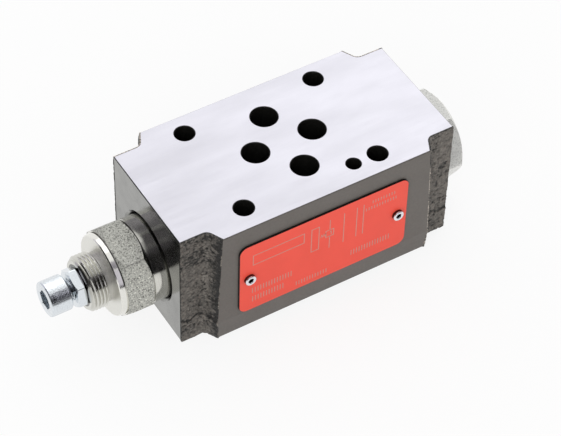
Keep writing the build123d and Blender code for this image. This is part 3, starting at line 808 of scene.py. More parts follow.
def value_noise(u, v, cell, seed):
    """Smooth noise from -1 to 1: random heights on a square lattice, eased between its corners."""
    count = 64
    lattice = np.random.default_rng(seed).uniform(-1, 1, (count, count))
    column, row = u / cell, v / cell
    left, low = np.floor(column).astype(int), np.floor(row).astype(int)
    across, up = column - left, row - low
    across, up = across * across * (3 - 2 * across), up * up * (3 - 2 * up)
    corner = [[lattice[(left + i) % count, (low + j) % count] for j in (0, 1)] for i in (0, 1)]
    lower = corner[0][0] * (1 - across) + corner[1][0] * across
    upper = corner[0][1] * (1 - across) + corner[1][1] * across
    return lower * (1 - up) + upper * up


def notch_path(sizes, height, columns, outer_y, inner_y, side):
    """Points and outward normals along one notch at each height.

    The path runs from the end face along the narrow end, round the fillet and out along the
    slanted wall to the wide middle. Its corner is found from the drafted outline, and the fillet
    touches both walls at the radius over the tangent of half their angle.
    """
    end_columns, fillet_columns, wall_columns = columns
    parting, high = sizes.parting_height, BLOCK_HIGH.z
    above = np.clip((high - height) / (high - parting), 0, 1) * sizes.upper_draft
    below = np.clip((parting - height) / parting, 0, 1) * sizes.lower_draft
    half = sizes.wide_half_length + above - below
    away = math.copysign(1.0, outer_y - inner_y)
    corner = np.stack((half + sizes.notch_run, np.full_like(half, inner_y)), axis=-1)
    outer = np.stack((half, outer_y - away * below), axis=-1)
    start = np.stack((np.full_like(half, BLOCK_HIGH.x), np.full_like(half, inner_y)), axis=-1)
    along_end = (start - corner) / np.linalg.norm(start - corner, axis=-1, keepdims=True)
    along_wall = (outer - corner) / np.linalg.norm(outer - corner, axis=-1, keepdims=True)
    half_angle = np.arccos(np.sum(along_end * along_wall, axis=-1)) / 2
    tangent = (sizes.notch_radius / np.tan(half_angle))[:, None]
    bisector = along_end + along_wall
    bisector = bisector / np.linalg.norm(bisector, axis=-1, keepdims=True)
    centre = corner + bisector * (sizes.notch_radius / np.sin(half_angle))[:, None]
    first, last = corner + along_end * tangent, corner + along_wall * tangent
    straight = start[:, None] + (first - start)[:, None] * np.linspace(0, 1, end_columns)[:, None]
    slant = last[:, None] + (outer - last)[:, None] * np.linspace(0, 1, wall_columns)[:, None]
    begin = np.arctan2(*(first - centre).T[::-1])
    turn = np.arctan2(*(last - centre).T[::-1]) - begin
    turn = (turn + math.pi) % FULL_TURN - math.pi
    sweep = begin[:, None] + turn[:, None] * np.linspace(0, 1, fillet_columns)
    inward = np.stack((np.cos(sweep), np.sin(sweep)), axis=-1)
    arc = centre[:, None] + sizes.notch_radius * inward
    flat_normal = np.broadcast_to([0.0, away], straight.shape)
    wall_normal = np.broadcast_to(-inward[:, -1:], slant.shape)
    path = np.concatenate((straight, arc[:, 1:-1], slant), axis=1)
    normal = np.concatenate((flat_normal, -inward[:, 1:-1], wall_normal), axis=1)
    mirror = np.array([side, 1.0])
    return path * mirror, normal * mirror


def bell(distance, width):
    """Bell curve: e to the power of less the square of the distance over the width."""
    return np.exp(-((distance / width) ** 2))


def fading(distance, reach, fade):
    """Share, from 0 to 1, that is full at no distance and fades out just before a reach."""
    return np.clip((reach - distance) / fade, 0, 1)


def sand_marks(sizes, u, v, seed, lap_size):
    """Marks that the sand mould leaves at each point of a notch, each about as high as 1.

    Grains are the sum of noises of three sizes, and pits are where a finer noise is high. Veins
    of dark scale and cold laps are bell curves along the zero lines of a noise. The fettled
    flash is a bell curve round a wandering parting line, with its foot just above it.
    """

    def noise(cell_mm, step):
        return value_noise(u, v, cell_mm * MM, seed + step)

    broad = noise(3.2, 0)
    rough = np.clip(0.5 + 1.2 * noise(6.0, 8), 0.15, 1)
    wander = 0.5 * MM + 0.8 * MM * value_noise(u, v * 0, 2.6 * MM, seed + 4)
    above = v - sizes.parting_height - wander
    return {
        "grains": 0.4 * broad + 0.4 * noise(1.2, 1) + 0.35 * noise(0.5, 2),
        "pits": rough * np.clip(noise(0.6, 3) - 0.15, 0, 1),
        "veins": rough * bell(noise(1.0, 11), 0.16),
        "laps": bell(value_noise(u, v, lap_size, seed + 6), 0.14) * np.clip(1.8 * broad - 0.1, 0, 1),
        "flash": bell(above, 0.4 * MM) * (0.8 + 0.4 * noise(1.4, 5)),
        "foot": bell(above - 0.75 * MM, 0.35 * MM),
        "lower half": fading(above, 0, 0.4 * MM),
    }


def skin_tone(marks, run, u, v, seed, wear_and_highlight):
    """How clean each point of a skin is drawn, and how bright its outer rim is, partly wear and partly
    painted highlight.

    Laps, pits, veins and the foot of the flash keep dark scale, and so do scabs. A ragged band
    near the wide middle and the slanted wall before it are darkened as painted shade, and the
    very edge is drawn bright in places, partly wear and partly painted highlight.
    """
    inward = run[-1] - run
    ragged = 0.45 * MM * value_noise(u, v, 0.6 * MM, seed + 10)
    scabs = np.clip(0.7 + value_noise(u, v, 0.8 * MM, seed + 7), 0, 1) * fading(inward, 2.0 * MM, 0.9 * MM)
    # Partly wear, partly painted highlight: bright places along the outer edge
    edge_wear_and_highlight = wear_and_highlight * np.clip(0.7 + value_noise(u * 0, v, 2.0 * MM, seed + 9), 0, 1)
    scale_and_shade = 0.9 * marks["laps"] + 0.8 * marks["pits"] + 0.5 * marks["veins"] + 0.6 * marks["foot"]
    # Painted shade: a ragged dark band just before the wide middle, then a fainter one over the slanted
    # wall
    scale_and_shade = scale_and_shade + 0.4 * scabs + 1.2 * fading(inward, 1.0 * MM + ragged, 0.2 * MM)
    scale_and_shade = scale_and_shade + 0.25 * fading(inward, 3.4 * MM, 0.8 * MM)
    scale_and_shade = scale_and_shade - 0.35 * marks["flash"] - 0.45 * marks["grains"]
    tone = np.clip(0.6 + 0.3 * wear_and_highlight - scale_and_shade, -0.3, 1.4)
    return tone + 2.5 * edge_wear_and_highlight * (run > run[-3]), 6.0 * edge_wear_and_highlight[:, -1]


def cast_skin(sizes, name, outer_y, inner_y, side, seed, lap_size, wear_and_highlight, material):
    """As-cast skin of one notch, from the ground top down to the ground bottom.

    The skin stands out from the notch by a mean height, more at grains, on the flash and in the
    lower half and less at pits and laps. Its hidden back lies inside the block.
    """
    rows, columns = 209, (36, 16, 22)
    height = np.linspace(BLOCK_LOW.z, BLOCK_HIGH.z, rows)
    path, normal = notch_path(sizes, height, columns, outer_y, inner_y, side)
    run = np.concatenate(([0.0], np.cumsum(np.linalg.norm(np.diff(path[0], axis=0), axis=-1))))
    u = np.broadcast_to(run, path.shape[:2])
    v = np.broadcast_to(height[:, None], path.shape[:2])
    marks = sand_marks(sizes, u, v, seed, lap_size)
    relief = 0.6 + 0.5 * marks["grains"] + 0.3 * marks["lower half"]
    relief = sizes.skin_relief * (relief - 0.8 * marks["pits"] - 0.55 * marks["laps"])
    relief = relief + sizes.seam_height * marks["flash"]
    at_back = outer_y > 0
    if at_back:
        relief = relief * np.clip((BLOCK_HIGH.z - v) / sizes.skin_fade, 0, 1)
    relief = np.maximum(relief, sizes.skin_least)
    tone, rim_tone = skin_tone(marks, run, u, v, seed, wear_and_highlight)

    def lifted(amount):
        moved = path + normal * amount[..., None]
        moved[..., 0] = np.clip(moved[..., 0], BLOCK_LOW.x, BLOCK_HIGH.x)
        moved[..., 1] = np.clip(moved[..., 1], -abs(outer_y), abs(outer_y))
        return np.concatenate((moved, v[..., None]), axis=-1)

    outside = lifted(relief)
    inside = lifted(np.full_like(relief, -sizes.skin_root))
    bottom, top, end_rim, middle_rim = (
        np.stack((outside[place], inside[place])) for place in (0, -1, (slice(None), 0), (slice(None), -1))
    )
    ground_tone = 4.0 if at_back else 0.0
    grids = [(outside, 0, tone), (inside, 0), (bottom, 0), (top, 0, ground_tone), (end_rim, 0)]
    grids.append((middle_rim, 0, rim_tone))
    return piece(name, grids, [material], "valve_block", sharp=60.0)


def stroke(points, width, closed=False):
    """Left and right side of a thin line on the plate.

    Each point is moved to both sides by half the width along the mitre of its two directions.
    """
    path = np.array(points, float) * MM
    ahead = np.roll(path, -1, axis=0) - path
    if not closed:
        ahead[-1] = ahead[-2]
    ahead = ahead / np.linalg.norm(ahead, axis=-1, keepdims=True)
    behind = np.roll(ahead, 1, axis=0)
    if not closed:
        behind[0] = ahead[0]
    mitre = ahead + behind
    mitre = mitre / np.linalg.norm(mitre, axis=-1, keepdims=True)
    across = np.stack((-mitre[:, 1], mitre[:, 0]), axis=-1)
    reach = width / 2 / np.maximum(np.sum(mitre * ahead, axis=-1), 0.5)
    left, right = path + across * reach[:, None], path - across * reach[:, None]
    if closed:
        left, right = np.vstack((left, left[:1])), np.vstack((right, right[:1]))
    return left, right


def print_grids(strokes, width, height):
    """Closed thin bars for all strokes: a loop of four points carried along each line."""
    grids = []
    front, back = PLATE_LOW.y - height, PLATE_LOW.y + height
    for points, closed in strokes:
        left, right = stroke(points, width, closed)
        corners = []
        for line, y in ((left, front), (right, front), (right, back), (left, back), (left, front)):
            x, z = line[:, 0] + PLATE_CENTRE.x, line[:, 1] + PLATE_CENTRE.z
            corners.append(np.stack((x, np.full_like(x, y), z), axis=-1))
        loop = np.stack(corners)
        grids.append((loop, 0))
        if not closed:
            caps = [loop[[0, 1, 3, 2], end].reshape(2, 2, 3) for end in (0, -1)]
            grids.extend((cap, 0) for cap in caps)
    return grids


def box_outline(centre_x, centre_z, width, height):
    """Corners of an upright rectangle."""
    x, z = width / 2, height / 2
    corners = [(-x, -z), (x, -z), (x, z), (-x, z)]
    return [(centre_x + a, centre_z + b) for a, b in corners]


def plate_strokes():
    """Generic circuit symbol of a relief valve beside through lines, a blank field and tick rows.

    All places are in millimetres from the plate's middle.
    """
    tank, valve, line_b, line_a, line_p = -3.0, 1.5, 5.9, 9.9, 12.0
    strokes = [(box_outline(tank, 4.2, 2.3, 8.6), True)]
    strokes.extend(([(x, -1.6), (x, 9.6)], False) for x in (line_b, line_a, line_p))
    square, middle, arrow = 2.4, 4.4, valve + 0.45
    spring = [(valve - square / 2 - 0.32 * n, middle + 0.5 * (-1) ** n) for n in range(6)]
    strokes.append((box_outline(valve, middle, square, square), True))
    for line in (
        [(valve, middle + square / 2), (valve, 9.4)],
        [(valve, middle - square / 2), (valve, -1.4)],
        [(arrow, middle - 0.75), (arrow, middle + 0.75)],
        [(arrow - 0.35, middle + 0.25), (arrow, middle + 0.75)],
        spring,
    ):
        strokes.append((line, False))
    strokes.append((box_outline(-14.2, 6.6, 15.5, 3.6), True))
    tick_spacing = 0.85
    # Middle, width and height of each row of ticks, which stand where small print would be
    for x, z, width, height in (
        (-15.8, -5.2, 12.5, 2.0),
        (-17.2, -8.6, 9.5, 2.0),
        (-3.6, -10.2, 9.6, 1.5),
        (15.0, -7.4, 12.5, 2.0),
        (18.6, 9.3, 7.6, 1.1),
        (17.6, 7.2, 9.6, 1.1),
    ):
        places = x - width / 2 + tick_spacing * np.arange(int(width / tick_spacing) + 1)
        strokes.extend(([(place, z - height / 2), (place, z + height / 2)], False) for place in places)
    return strokes


def pin_grid(sizes, centre_x, centre_z, front, back):
    """Tubular pin: a rounded rim turned about +Y, open along its bore, which is drawn dark as painted
    shade.
    """
    angles = np.linspace(0, FULL_TURN, 49)
    outer, inner, fillet = sizes.pin_radius, sizes.pin_bore, sizes.pin_fillet
    wall = front + fillet + 0.04 * MM
    shade_start = front + fillet + 0.02 * MM
    bend = np.linspace(0, math.pi / 2, 7)
    outer_rim = [(front + fillet * (1 - math.sin(b)), outer - fillet * (1 - math.cos(b))) for b in bend]
    inner_rim = [(front + fillet * (1 - math.cos(b)), inner + fillet * (1 - math.sin(b))) for b in bend]
    outside = [(back, inner), (back, outer), (wall, outer), *outer_rim]
    y, radius = rings(angles, [*outside, *inner_rim, (wall, inner), (back, inner)])
    # Painted shade: the bore is drawn dark beyond the rim
    bore_shade = 0.92
    darkening = np.where(y > shade_start, bore_shade, 0.0)
    x, z = centre_x + radius * np.cos(angles), centre_z + radius * np.sin(angles)
    return np.stack((x, y, z), axis=-1), darkening


def stacked(angles, *blocks):
    """Points of turned rows one after another."""
    x, radius = np.concatenate(blocks, axis=1)
    return bore_points(x, radius, angles)


def body_outside(angles, sizes, side):
    """Rows of the part that cartridge and plug share, from under the collar to the waist's end."""
    seat, thread_end = sizes.collar_start, sizes.block_thread_end
    pocket = seat - sizes.pocket_length
    crest = sizes.block_thread_radius
    relief, waist = crest - sizes.relief_depth, crest - sizes.waist_depth
    threads = thread_rows(
        angles,
        thread_end,
        pocket,
        crest,
        sizes.block_thread_depth,
        sizes.block_pitch,
        (sizes.block_thread_chamfer, sizes.block_thread_chamfer),
    )
    shank = rings(angles, [(seat, sizes.hex_flats / 2), (seat, relief), (pocket, relief)])
    neck = rings(angles, [(thread_end, waist), (-CARTRIDGE_INNER, waist)])
    x, radius = np.concatenate((shank, np.flip(threads, axis=1), neck), axis=1)
    return x * side, radius


def turned_grid(angles, profile, number):
    """A turned surface through (x, radius, darkening) places, with the number of its material."""
    x, radius, darkening = rings(angles, profile)
    return bore_points(x, radius, angles), number, darkening


def angle_band(angles, middle, reach, fade):
    """Share, from 0 to 1, that is full round a middle angle and fades out just before a reach.

    All three are in degrees.
    """
    away = np.abs((np.degrees(angles) - middle + 180) % 360 - 180)
    return fading(away, reach, fade)


def hexagon_grids(angles, rows, outer_number, painted_flat_shade):
    """A hexagon's blasted flats, material 1, its inner chamfer, material 0, and its outer chamfer.

    painted_flat_shade is painted shade: how much darker than the rest the flats are drawn at
    each angle, for how the light falls on them. It begins on rows of its own just inside the
    flats' ends, so that the chamfers don't share it.
    """
    ends = stacked(angles, rows)
    shares = np.array([0, 0.03, 0.97, 1])[:, None, None]
    flats = ends[1] + (ends[2] - ends[1]) * shares
    tones = painted_flat_shade * np.array([0, 1, 1, 0])[:, None]
    return [(ends[:2], 0), (flats, 1, tones), (ends[2:], outer_number)]


def collar_grid(angles, sizes, hex_start, side):
    """Satin collar, material 2.

    Painted shade dims the reflection on its upper front and darkens the groove at the hexagon
    and the block's gap, which begins at the mouth.
    """
    full, groove, painted_shade = sizes.hex_flats / 2, sizes.groove, 0.85
    mouth, above_mouth = BLOCK_HIGH.x + 0.05 * MM, BLOCK_HIGH.x + 0.2 * MM
    # Painted shade: darker in the groove and the block's gap, and over the reflection on the upper front
    groove_shade = painted_shade * (0.3 + 0.7 * angle_band(angles, middle=80, reach=80, fade=10))
    upper_front_shade = 0.5 * angle_band(angles, middle=118, reach=41, fade=14)
    profile = (
        (hex_start, full, 0),
        (hex_start, full - groove, groove_shade),
        (hex_start - groove, full - groove, groove_shade),
        (hex_start - groove, full, upper_front_shade),
        (above_mouth, full, upper_front_shade),
        (mouth, full, painted_shade),
        (sizes.collar_start, full, painted_shade),
    )
    return turned_grid(angles, [(side * x, radius, darkening) for x, radius, darkening in profile], 2)


def chamber_rows(angles, sizes):
    """Rows of the cartridge's inside, from its inner end to the mouth of the screw's hole."""
    profile = (
        (CARTRIDGE_INNER, sizes.block_thread_radius - sizes.waist_depth),
        (CARTRIDGE_INNER, sizes.chamber_radius),
        (-sizes.chamber_end, sizes.chamber_radius),
        (-sizes.chamber_end, sizes.screw_hole),
        (NOSE_END + sizes.screw_hole_chamfer, sizes.screw_hole),
        (NOSE_END, sizes.screw_hole + sizes.screw_hole_chamfer),
    )
    return rings(angles, profile)


def nose_grids(angles, sizes):
    """Face of the nose with a painted shadow of the nut round the screw, and its thread with old oil and
    painted shade in the grooves.
    """
    painted_shade, shade_edge = 0.85, 0.15 * MM
    # Painted shadow of the nut: a dark ring on the face round the screw
    face = (
        (NOSE_END, sizes.screw_hole + sizes.screw_hole_chamfer, painted_shade),
        (NOSE_END, sizes.nut_shadow_radius, painted_shade),
        (NOSE_END, sizes.nut_shadow_radius + shade_edge, 0),
        (NOSE_END, sizes.nose_radius - sizes.nose_chamfer, 0),
    )
    thread = thread_rows(
        angles,
        NOSE_END,
        -sizes.undercut_end,
        sizes.nose_radius,
        sizes.nose_thread_depth,
        sizes.nose_pitch,
        (sizes.nose_chamfer, sizes.nose_thread_depth),
    )
    points = stacked(angles, thread)
    # Partly oil, partly painted shade: the grooves are drawn darker, most of all round one angle
    thread_oil_and_shade = 0.1 + 0.25 * angle_band(angles, middle=125, reach=48, fade=20)
    darkening = groove_oil_and_shade(points, sizes.nose_radius, sizes.nose_thread_depth, thread_oil_and_shade)
    return [turned_grid(angles, face, 0), (points, 0, darkening)]


def shoulder_grids(angles, sizes):
    """Undercut with the faced shoulder, material 3, and the rim up to the hexagon, material 4."""
    edge, groove = sizes.edge_break, sizes.groove
    face, hexagon = -sizes.rim_end, -sizes.cartridge_hex_end
    front_radius = sizes.rim_radius - sizes.rim_taper
    # Painted shade in the groove at the hexagon, in the undercut and in the undercut's corner
    painted_shade = 0.7 * angle_band(angles, middle=80, reach=80, fade=8)
    undercut_shade, corner_shade = 0.3, 0.2
    shoulder = (
        (-sizes.undercut_end, sizes.nose_radius - sizes.nose_thread_depth, undercut_shade),
        (-sizes.undercut_end, sizes.undercut_radius, undercut_shade),
        (face, sizes.undercut_radius, corner_shade),
        (face, sizes.undercut_radius + edge, 0),
        (face, front_radius - edge, 0),
    )
    rim = (
        (face, front_radius - edge, 0),
        (face + edge, front_radius, 0),
        (hexagon - groove, sizes.rim_radius, 0),
        (hexagon - groove, sizes.rim_radius - groove, painted_shade),
        (hexagon, sizes.rim_radius - groove, painted_shade),
        (hexagon, sizes.rim_radius, 0),
        (hexagon, sizes.hex_flats / 2, 0),
    )
    return [turned_grid(angles, shoulder, 3), turned_grid(angles, rim, 4)]


def plug_nose_rows(angles, sizes):
    """Rows of the plug's nose from the waist over the seal groove to the middle of its tip."""
    tip, outer = PLUG_LOW.x, sizes.plug_nose_radius
    profile = (
        (-CARTRIDGE_INNER, outer),
        (tip + sizes.plug_groove_end, outer),
        (tip + sizes.plug_groove_end, sizes.plug_groove_radius),
        (tip + sizes.plug_groove_start, sizes.plug_groove_radius),
        (tip + sizes.plug_groove_start, outer),
        (tip + sizes.plug_nose_chamfer, outer),
        (tip, outer - sizes.plug_nose_chamfer),
        (tip, 0.0),
    )
    return rings(angles, profile)


def screw_head_grid(angles, sizes):
    """Knurled socket head of the adjusting screw, material 1, with a painted dark reflection in a streak.
    """
    rear, outer = SCREW_FRONT + sizes.screw_head_length, sizes.screw_head_radius
    edge, front_edge = sizes.edge_break, sizes.head_front_edge
    behind = [(rear, sizes.screw_radius), (rear, outer - edge), (rear - edge, outer)]
    knurl_start, knurl_end = rear - edge - 0.2 * MM, SCREW_FRONT + front_edge + 0.6 * MM
    waves = 36
    knurl = knurl_rows(angles, knurl_start, knurl_end, outer, sizes.knurl_depth, waves)
    rounding = [(front_edge, 0.0), (front_edge / 3, front_edge / 3), (0.0, front_edge)]
    before = [(SCREW_FRONT + inward, outer - down) for inward, down in rounding]
    flats = hexagon_radius(angles, 0.0, sizes.socket_flats, 0.0)
    bottom, chamfer = SCREW_FRONT + sizes.socket_depth, sizes.socket_chamfer
    socket = [
        (SCREW_FRONT, sizes.socket_flats / math.sqrt(3) + chamfer),
        (SCREW_FRONT + chamfer, flats),
        (bottom, flats),
        (bottom, 0.0),
    ]
    points = stacked(angles, rings(angles, behind), knurl, rings(angles, before), rings(angles, socket))
    radius = np.hypot(points[..., 1] - BORE_Y, points[..., 2] - BORE_Z)
    # Painted reflection: a dark streak round one angle, on the outer surface of the head
    streak_depth = 0.12 * MM
    painted_dark_streak = 0.5 * angle_band(angles, middle=147, reach=12, fade=3) * (radius > outer - streak_depth)
    return points, 1, painted_dark_streak


def screw_thread_grid(angles, sizes):
    """Thread of the adjusting screw from its head to its end, material 0, with oil and painted shade in the
    grooves.
    """
    rear, crest, depth = SCREW_FRONT + sizes.screw_head_length, sizes.screw_radius, sizes.screw_thread_depth
    chamfer, most_oil_and_shade = sizes.screw_tail_chamfer, 0.6
    thread = thread_rows(angles, rear, SCREW_INNER, crest, depth, sizes.screw_pitch, (0.0, chamfer))
    runout = rings(angles, [(rear, crest)])
    tail = rings(angles, [(SCREW_INNER, crest - chamfer), (SCREW_INNER, 0.0)])
    points = stacked(angles, runout, thread, tail)
    return points, 0, groove_oil_and_shade(points, crest, depth, most_oil_and_shade)


def nut_grid(sizes):
    """Thin lock nut: flats whose corners a cone turns off, round faces and a chamfered hole."""
    angles = hexagon_angles(sizes.nut_corner)
    outline = hexagon_radius(angles, sizes.nut_corner, sizes.nut_flats, sizes.nut_corner_break)
    face_radius = sizes.nut_flats / 2 - sizes.nut_face_step
    rise = (outline - face_radius) * math.tan(sizes.nut_bevel)
    bore, chamfer = sizes.nut_bore, sizes.nut_bore_chamfer
    profile = (
        (NUT_FRONT + chamfer, bore),
        (NUT_FRONT, bore + chamfer),
        (NUT_FRONT, face_radius),
        (NUT_FRONT + rise, outline),
        (NUT_REAR - rise, outline),
        (NUT_REAR, face_radius),
        (NUT_REAR, bore + chamfer),
        (NUT_REAR - chamfer, bore),
        (NUT_FRONT + chamfer, bore),
    )
    return stacked(angles, rings(angles, profile)), 0


def spring_grids(sizes, start, share):
    """Half of the main spring: a wire wound from one end by a share of the spring's length.

    The wire is a circle carried along a helix, and it is ground flat at the spring's end.
    """
    low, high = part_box("main_spring")
    turns, steps = 5.5, 200
    along = np.linspace(0, 1, steps)[:, None]
    section = np.linspace(0, FULL_TURN, 13)
    angle = turns / 2 * FULL_TURN * along * math.copysign(1, share)
    radius = sizes.spring_radius + sizes.spring_wire_radius * np.cos(section)
    x = start + share * (high.x - low.x) * along + sizes.spring_wire_radius * np.sin(section)
    tube = bore_points(np.clip(x, low.x, high.x), radius, angle)
    ends = [np.stack((np.broadcast_to(loop.mean(0), loop.shape), loop)) for loop in (tube[0], tube[-1])]
    return [(tube, 0), (ends[0], 0), (ends[1], 0)]


def refinish(name, material):
    """Give one of the frame's own nodes a finish."""
    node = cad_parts[name]
    node.data.materials.clear()
    node.data.materials.append(material)


class VALVE_OT_block(bpy.types.Operator):
    """Finish the cast block: machined faces on the frame's node and as-cast skins in its notches"""

    bl_idname = "valve.block"
    bl_label = "Cast block"

    def execute(self, context):
        colours, sizes = context.scene.valve_colours, context.scene.valve_block
        refinish("valve_body", machined_iron(colours))
        skin = sand_cast_iron(colours)
        front, back = BLOCK_LOW.y, BLOCK_HIGH.y
        front_end, back_end = -sizes.notch_end_front, sizes.notch_end_back
        # Wide face, narrow face, end of the block, seed, size of the cold laps, and wear and painted
        # highlight of the edge
        notches = (
            ("front_left", front, front_end, -1, 11, 1.1 * MM, 0.3),
            ("front_right", front, front_end, 1, 23, 2.4 * MM, 0.7),
            ("back_left", back, back_end, -1, 37, 1.4 * MM, 0.1),
            ("back_right", back, back_end, 1, 53, 1.8 * MM, 0.1),
        )
        for corner, *shape in notches:
            cast_skin(sizes, "cast_skin_" + corner, *shape, skin)
        return {"FINISHED"}


class VALVE_OT_plate(bpy.types.Operator):
    """Enamel the name plate, print generic marks on it and turn its two tubular pins"""

    bl_idname = "valve.plate"
    bl_label = "Name plate and pins"

    def execute(self, context):
        colours, sizes = context.scene.valve_colours, context.scene.valve_block
        refinish("name_plate", plate_enamel(colours))
        ink = print_ink(colours)
        grids = print_grids(plate_strokes(), sizes.print_width, sizes.print_height)
        piece("plate_print", grids, [ink], "valve_block")
        steel = pin_steel(colours)
        for name in ("plate_pin_left", "plate_pin_right"):
            low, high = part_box(name)
            centre = (low + high) / 2
            grid, darkening = pin_grid(sizes, centre.x, centre.z, low.y, high.y)
            piece(name + "_turned", [(grid, 0, darkening)], [steel], "valve_block", (name,))
        return {"FINISHED"}


class VALVE_OT_cartridge(bpy.types.Operator):
    """Turn the relief cartridge's housing with its hexagon, rim and both fine threads"""

    bl_idname = "valve.cartridge"
    bl_label = "Relief cartridge"

    def execute(self, context):
        colours, sizes = context.scene.valve_colours, context.scene.valve_heads
        materials = [
            turned_steel("turned_plated_steel", colours.turned_steel, roughness=0.16),
            blasted_steel("blasted_hexagon_steel", colours.drawn_steel, darkest=0.22, brightest=1.55),
            satin_steel("satin_collar_steel", colours.turned_steel),
            faced_steel(colours),
            rim_steel(colours),
        ]
        corner = sizes.cartridge_corner
        angles = hexagon_angles(corner)
        hexagon = hexagon_rows(angles, -sizes.cartridge_hex_start, -sizes.cartridge_hex_end, corner, sizes)
        # Painted light: the flat that faces up is drawn darker than the rest, and the one that faces the
        # front lighter
        upper_flat = angle_band(angles, middle=100, reach=30, fade=2)
        front_flat = angle_band(angles, middle=160, reach=30, fade=2)
        painted_flat_shade = 0.12 * upper_flat - 0.28 * front_flat
        grids = [
            *hexagon_grids(angles, hexagon, 1, painted_flat_shade),
            collar_grid(angles, sizes, sizes.cartridge_hex_start, -1),
            (stacked(angles, body_outside(angles, sizes, -1), chamber_rows(angles, sizes)), 0),
            *nose_grids(angles, sizes),
            *shoulder_grids(angles, sizes),
        ]
        housing = piece(
            "cartridge_housing_turned",
            grids,
            materials,
            "valve_block",
            ("cartridge_housing",),
        )
        drill(housing, sizes)
        return {"FINISHED"}


class VALVE_OT_plug(bpy.types.Operator):
    """Turn the closing plug with its hexagon, body thread and sealed nose"""

    bl_idname = "valve.plug"
    bl_label = "Closing plug"

    def execute(self, context):
        colours, sizes = context.scene.valve_colours, context.scene.valve_heads
        materials = [
            turned_steel("turned_plug_steel", colours.turned_steel, roughness=0.18),
            blasted_steel("blasted_plug_steel", colours.plug_steel, darkest=0.72, brightest=1.12),
            satin_steel("satin_plug_steel", colours.turned_steel),
        ]
        corner, end = sizes.plug_corner, PLUG_HIGH.x
        angles = hexagon_angles(corner)
        hexagon = hexagon_rows(angles, sizes.plug_hex_start, end, corner, sizes)
        face = rings(angles, [(end, sizes.hex_flats / 2), (end, 0.0)])
        # Painted shade: the flat that faces up is drawn darker than the rest
        painted_flat_shade = 0.32 * angle_band(angles, middle=90, reach=30, fade=2)
        grids = [
            *hexagon_grids(angles, hexagon, 0, painted_flat_shade),
            collar_grid(angles, sizes, sizes.plug_hex_start, 1),
            (stacked(angles, face), 0),
            (stacked(angles, body_outside(angles, sizes, 1), plug_nose_rows(angles, sizes)), 0),
        ]
        piece(
            "closing_plug_turned",
            grids,
            materials,
            "valve_block",
            ("closing_plug",),
        )
        return {"FINISHED"}


class VALVE_OT_adjuster(bpy.types.Operator):
    """Turn the adjusting screw and the lock nut"""

    bl_idname = "valve.adjuster"
    bl_label = "Adjusting screw and lock nut"

    def execute(self, context):
        colours, sizes = context.scene.valve_colours, context.scene.valve_heads
        zinc = zinc_plating(colours)
        # Many angles between the socket's corners, for the knurl
        angles = hexagon_angles(0.0, 44)
        piece(
            "adjusting_screw_turned",
            [screw_head_grid(angles, sizes), screw_thread_grid(angles, sizes)],
            [zinc, knurled_zinc(colours)],
            "screw",
            ("adjusting_screw",),
        )
        piece("lock_nut_turned", [nut_grid(sizes)], [zinc], "nut", ("lock_nut",))
        return {"FINISHED"}


class VALVE_OT_inside(bpy.types.Operator):
    """Finish the working parts inside the cartridge and wind its spring"""

    bl_idname = "valve.inside"
    bl_label = "Working parts"

    def execute(self, context):
        colours, sizes = context.scene.valve_colours, context.scene.valve_heads
        hardened = ground_steel(colours)
        wire = spring_wire(colours)
        for name in ("seat_sleeve", "relief_poppet", "spring_plate"):
            refinish(name, hardened)
        refinish("spring_carrier", carrier_steel(colours))
        low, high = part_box("main_spring")
        for name, start, share, moving in (
            ("spring_inner_half", high.x, -0.5, "poppet_group"),
            ("spring_outer_half", low.x, 0.5, "spring_carrier_group"),
        ):
            half = piece(
                name,
                spring_grids(sizes, start, share),
                [wire],
                None,
                ("main_spring",),
                sharp=60.0,
            )
            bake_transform(half)
        return {"FINISHED"}


class VALVE_OT_seals(bpy.types.Operator):
    """Finish the rubber seals and the plastic backup rings"""

    bl_idname = "valve.seals"
    bl_label = "Seals"

    def execute(self, context):
        colours = context.scene.valve_colours
        rubber, plastic = nitrile_rubber(colours), backup_plastic(colours)
        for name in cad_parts:
            if "seal" in name or "backup" in name:
                refinish(name, plastic if "backup" in name else rubber)
        return {"FINISHED"}


def seen_plainly(tree):
    """1 where the camera, metal or glass looks at something and 0 where it only gives light."""
    path = add(tree, "ShaderNodeLightPath")
    seen = path.outputs["Is Camera Ray"]
    for ray in ("Is Glossy Ray", "Is Transmission Ray"):
        seen = add(tree, "ShaderNodeMath", {"operation": "MAXIMUM"}, {0: seen, 1: path.outputs[ray]})
    return seen


def plain_cloth(name, colour):
    """Matt flag cloth of one colour, which metal mirrors as an even band."""
    material, tree, _ = start_material(name)
    finish_material(tree, {"Base Color": (*colour, 1), "Roughness": 0.9})
    return material


def faded_cloth(colours):
    """Matt flag cloth that is nearly black below and pales towards the top of the flags."""
    material, tree, place = start_material("faded_flag_cloth")
    height = add(tree, "ShaderNodeSeparateXYZ", None, {"Vector": place}).outputs["Z"]
    inputs = {"Value": height, "From Min": 0.85, "From Max": 1.2, "To Min": 0.0165, "To Max": 0.44}
    level = add(tree, "ShaderNodeMapRange", None, inputs)
    inputs = {0: tuple(colours.faded_cloth), "Scale": level}
    cloth = add(tree, "ShaderNodeVectorMath", {"operation": "SCALE"}, inputs)
    finish_material(tree, {"Base Color": cloth, "Roughness": 0.9})
    return material


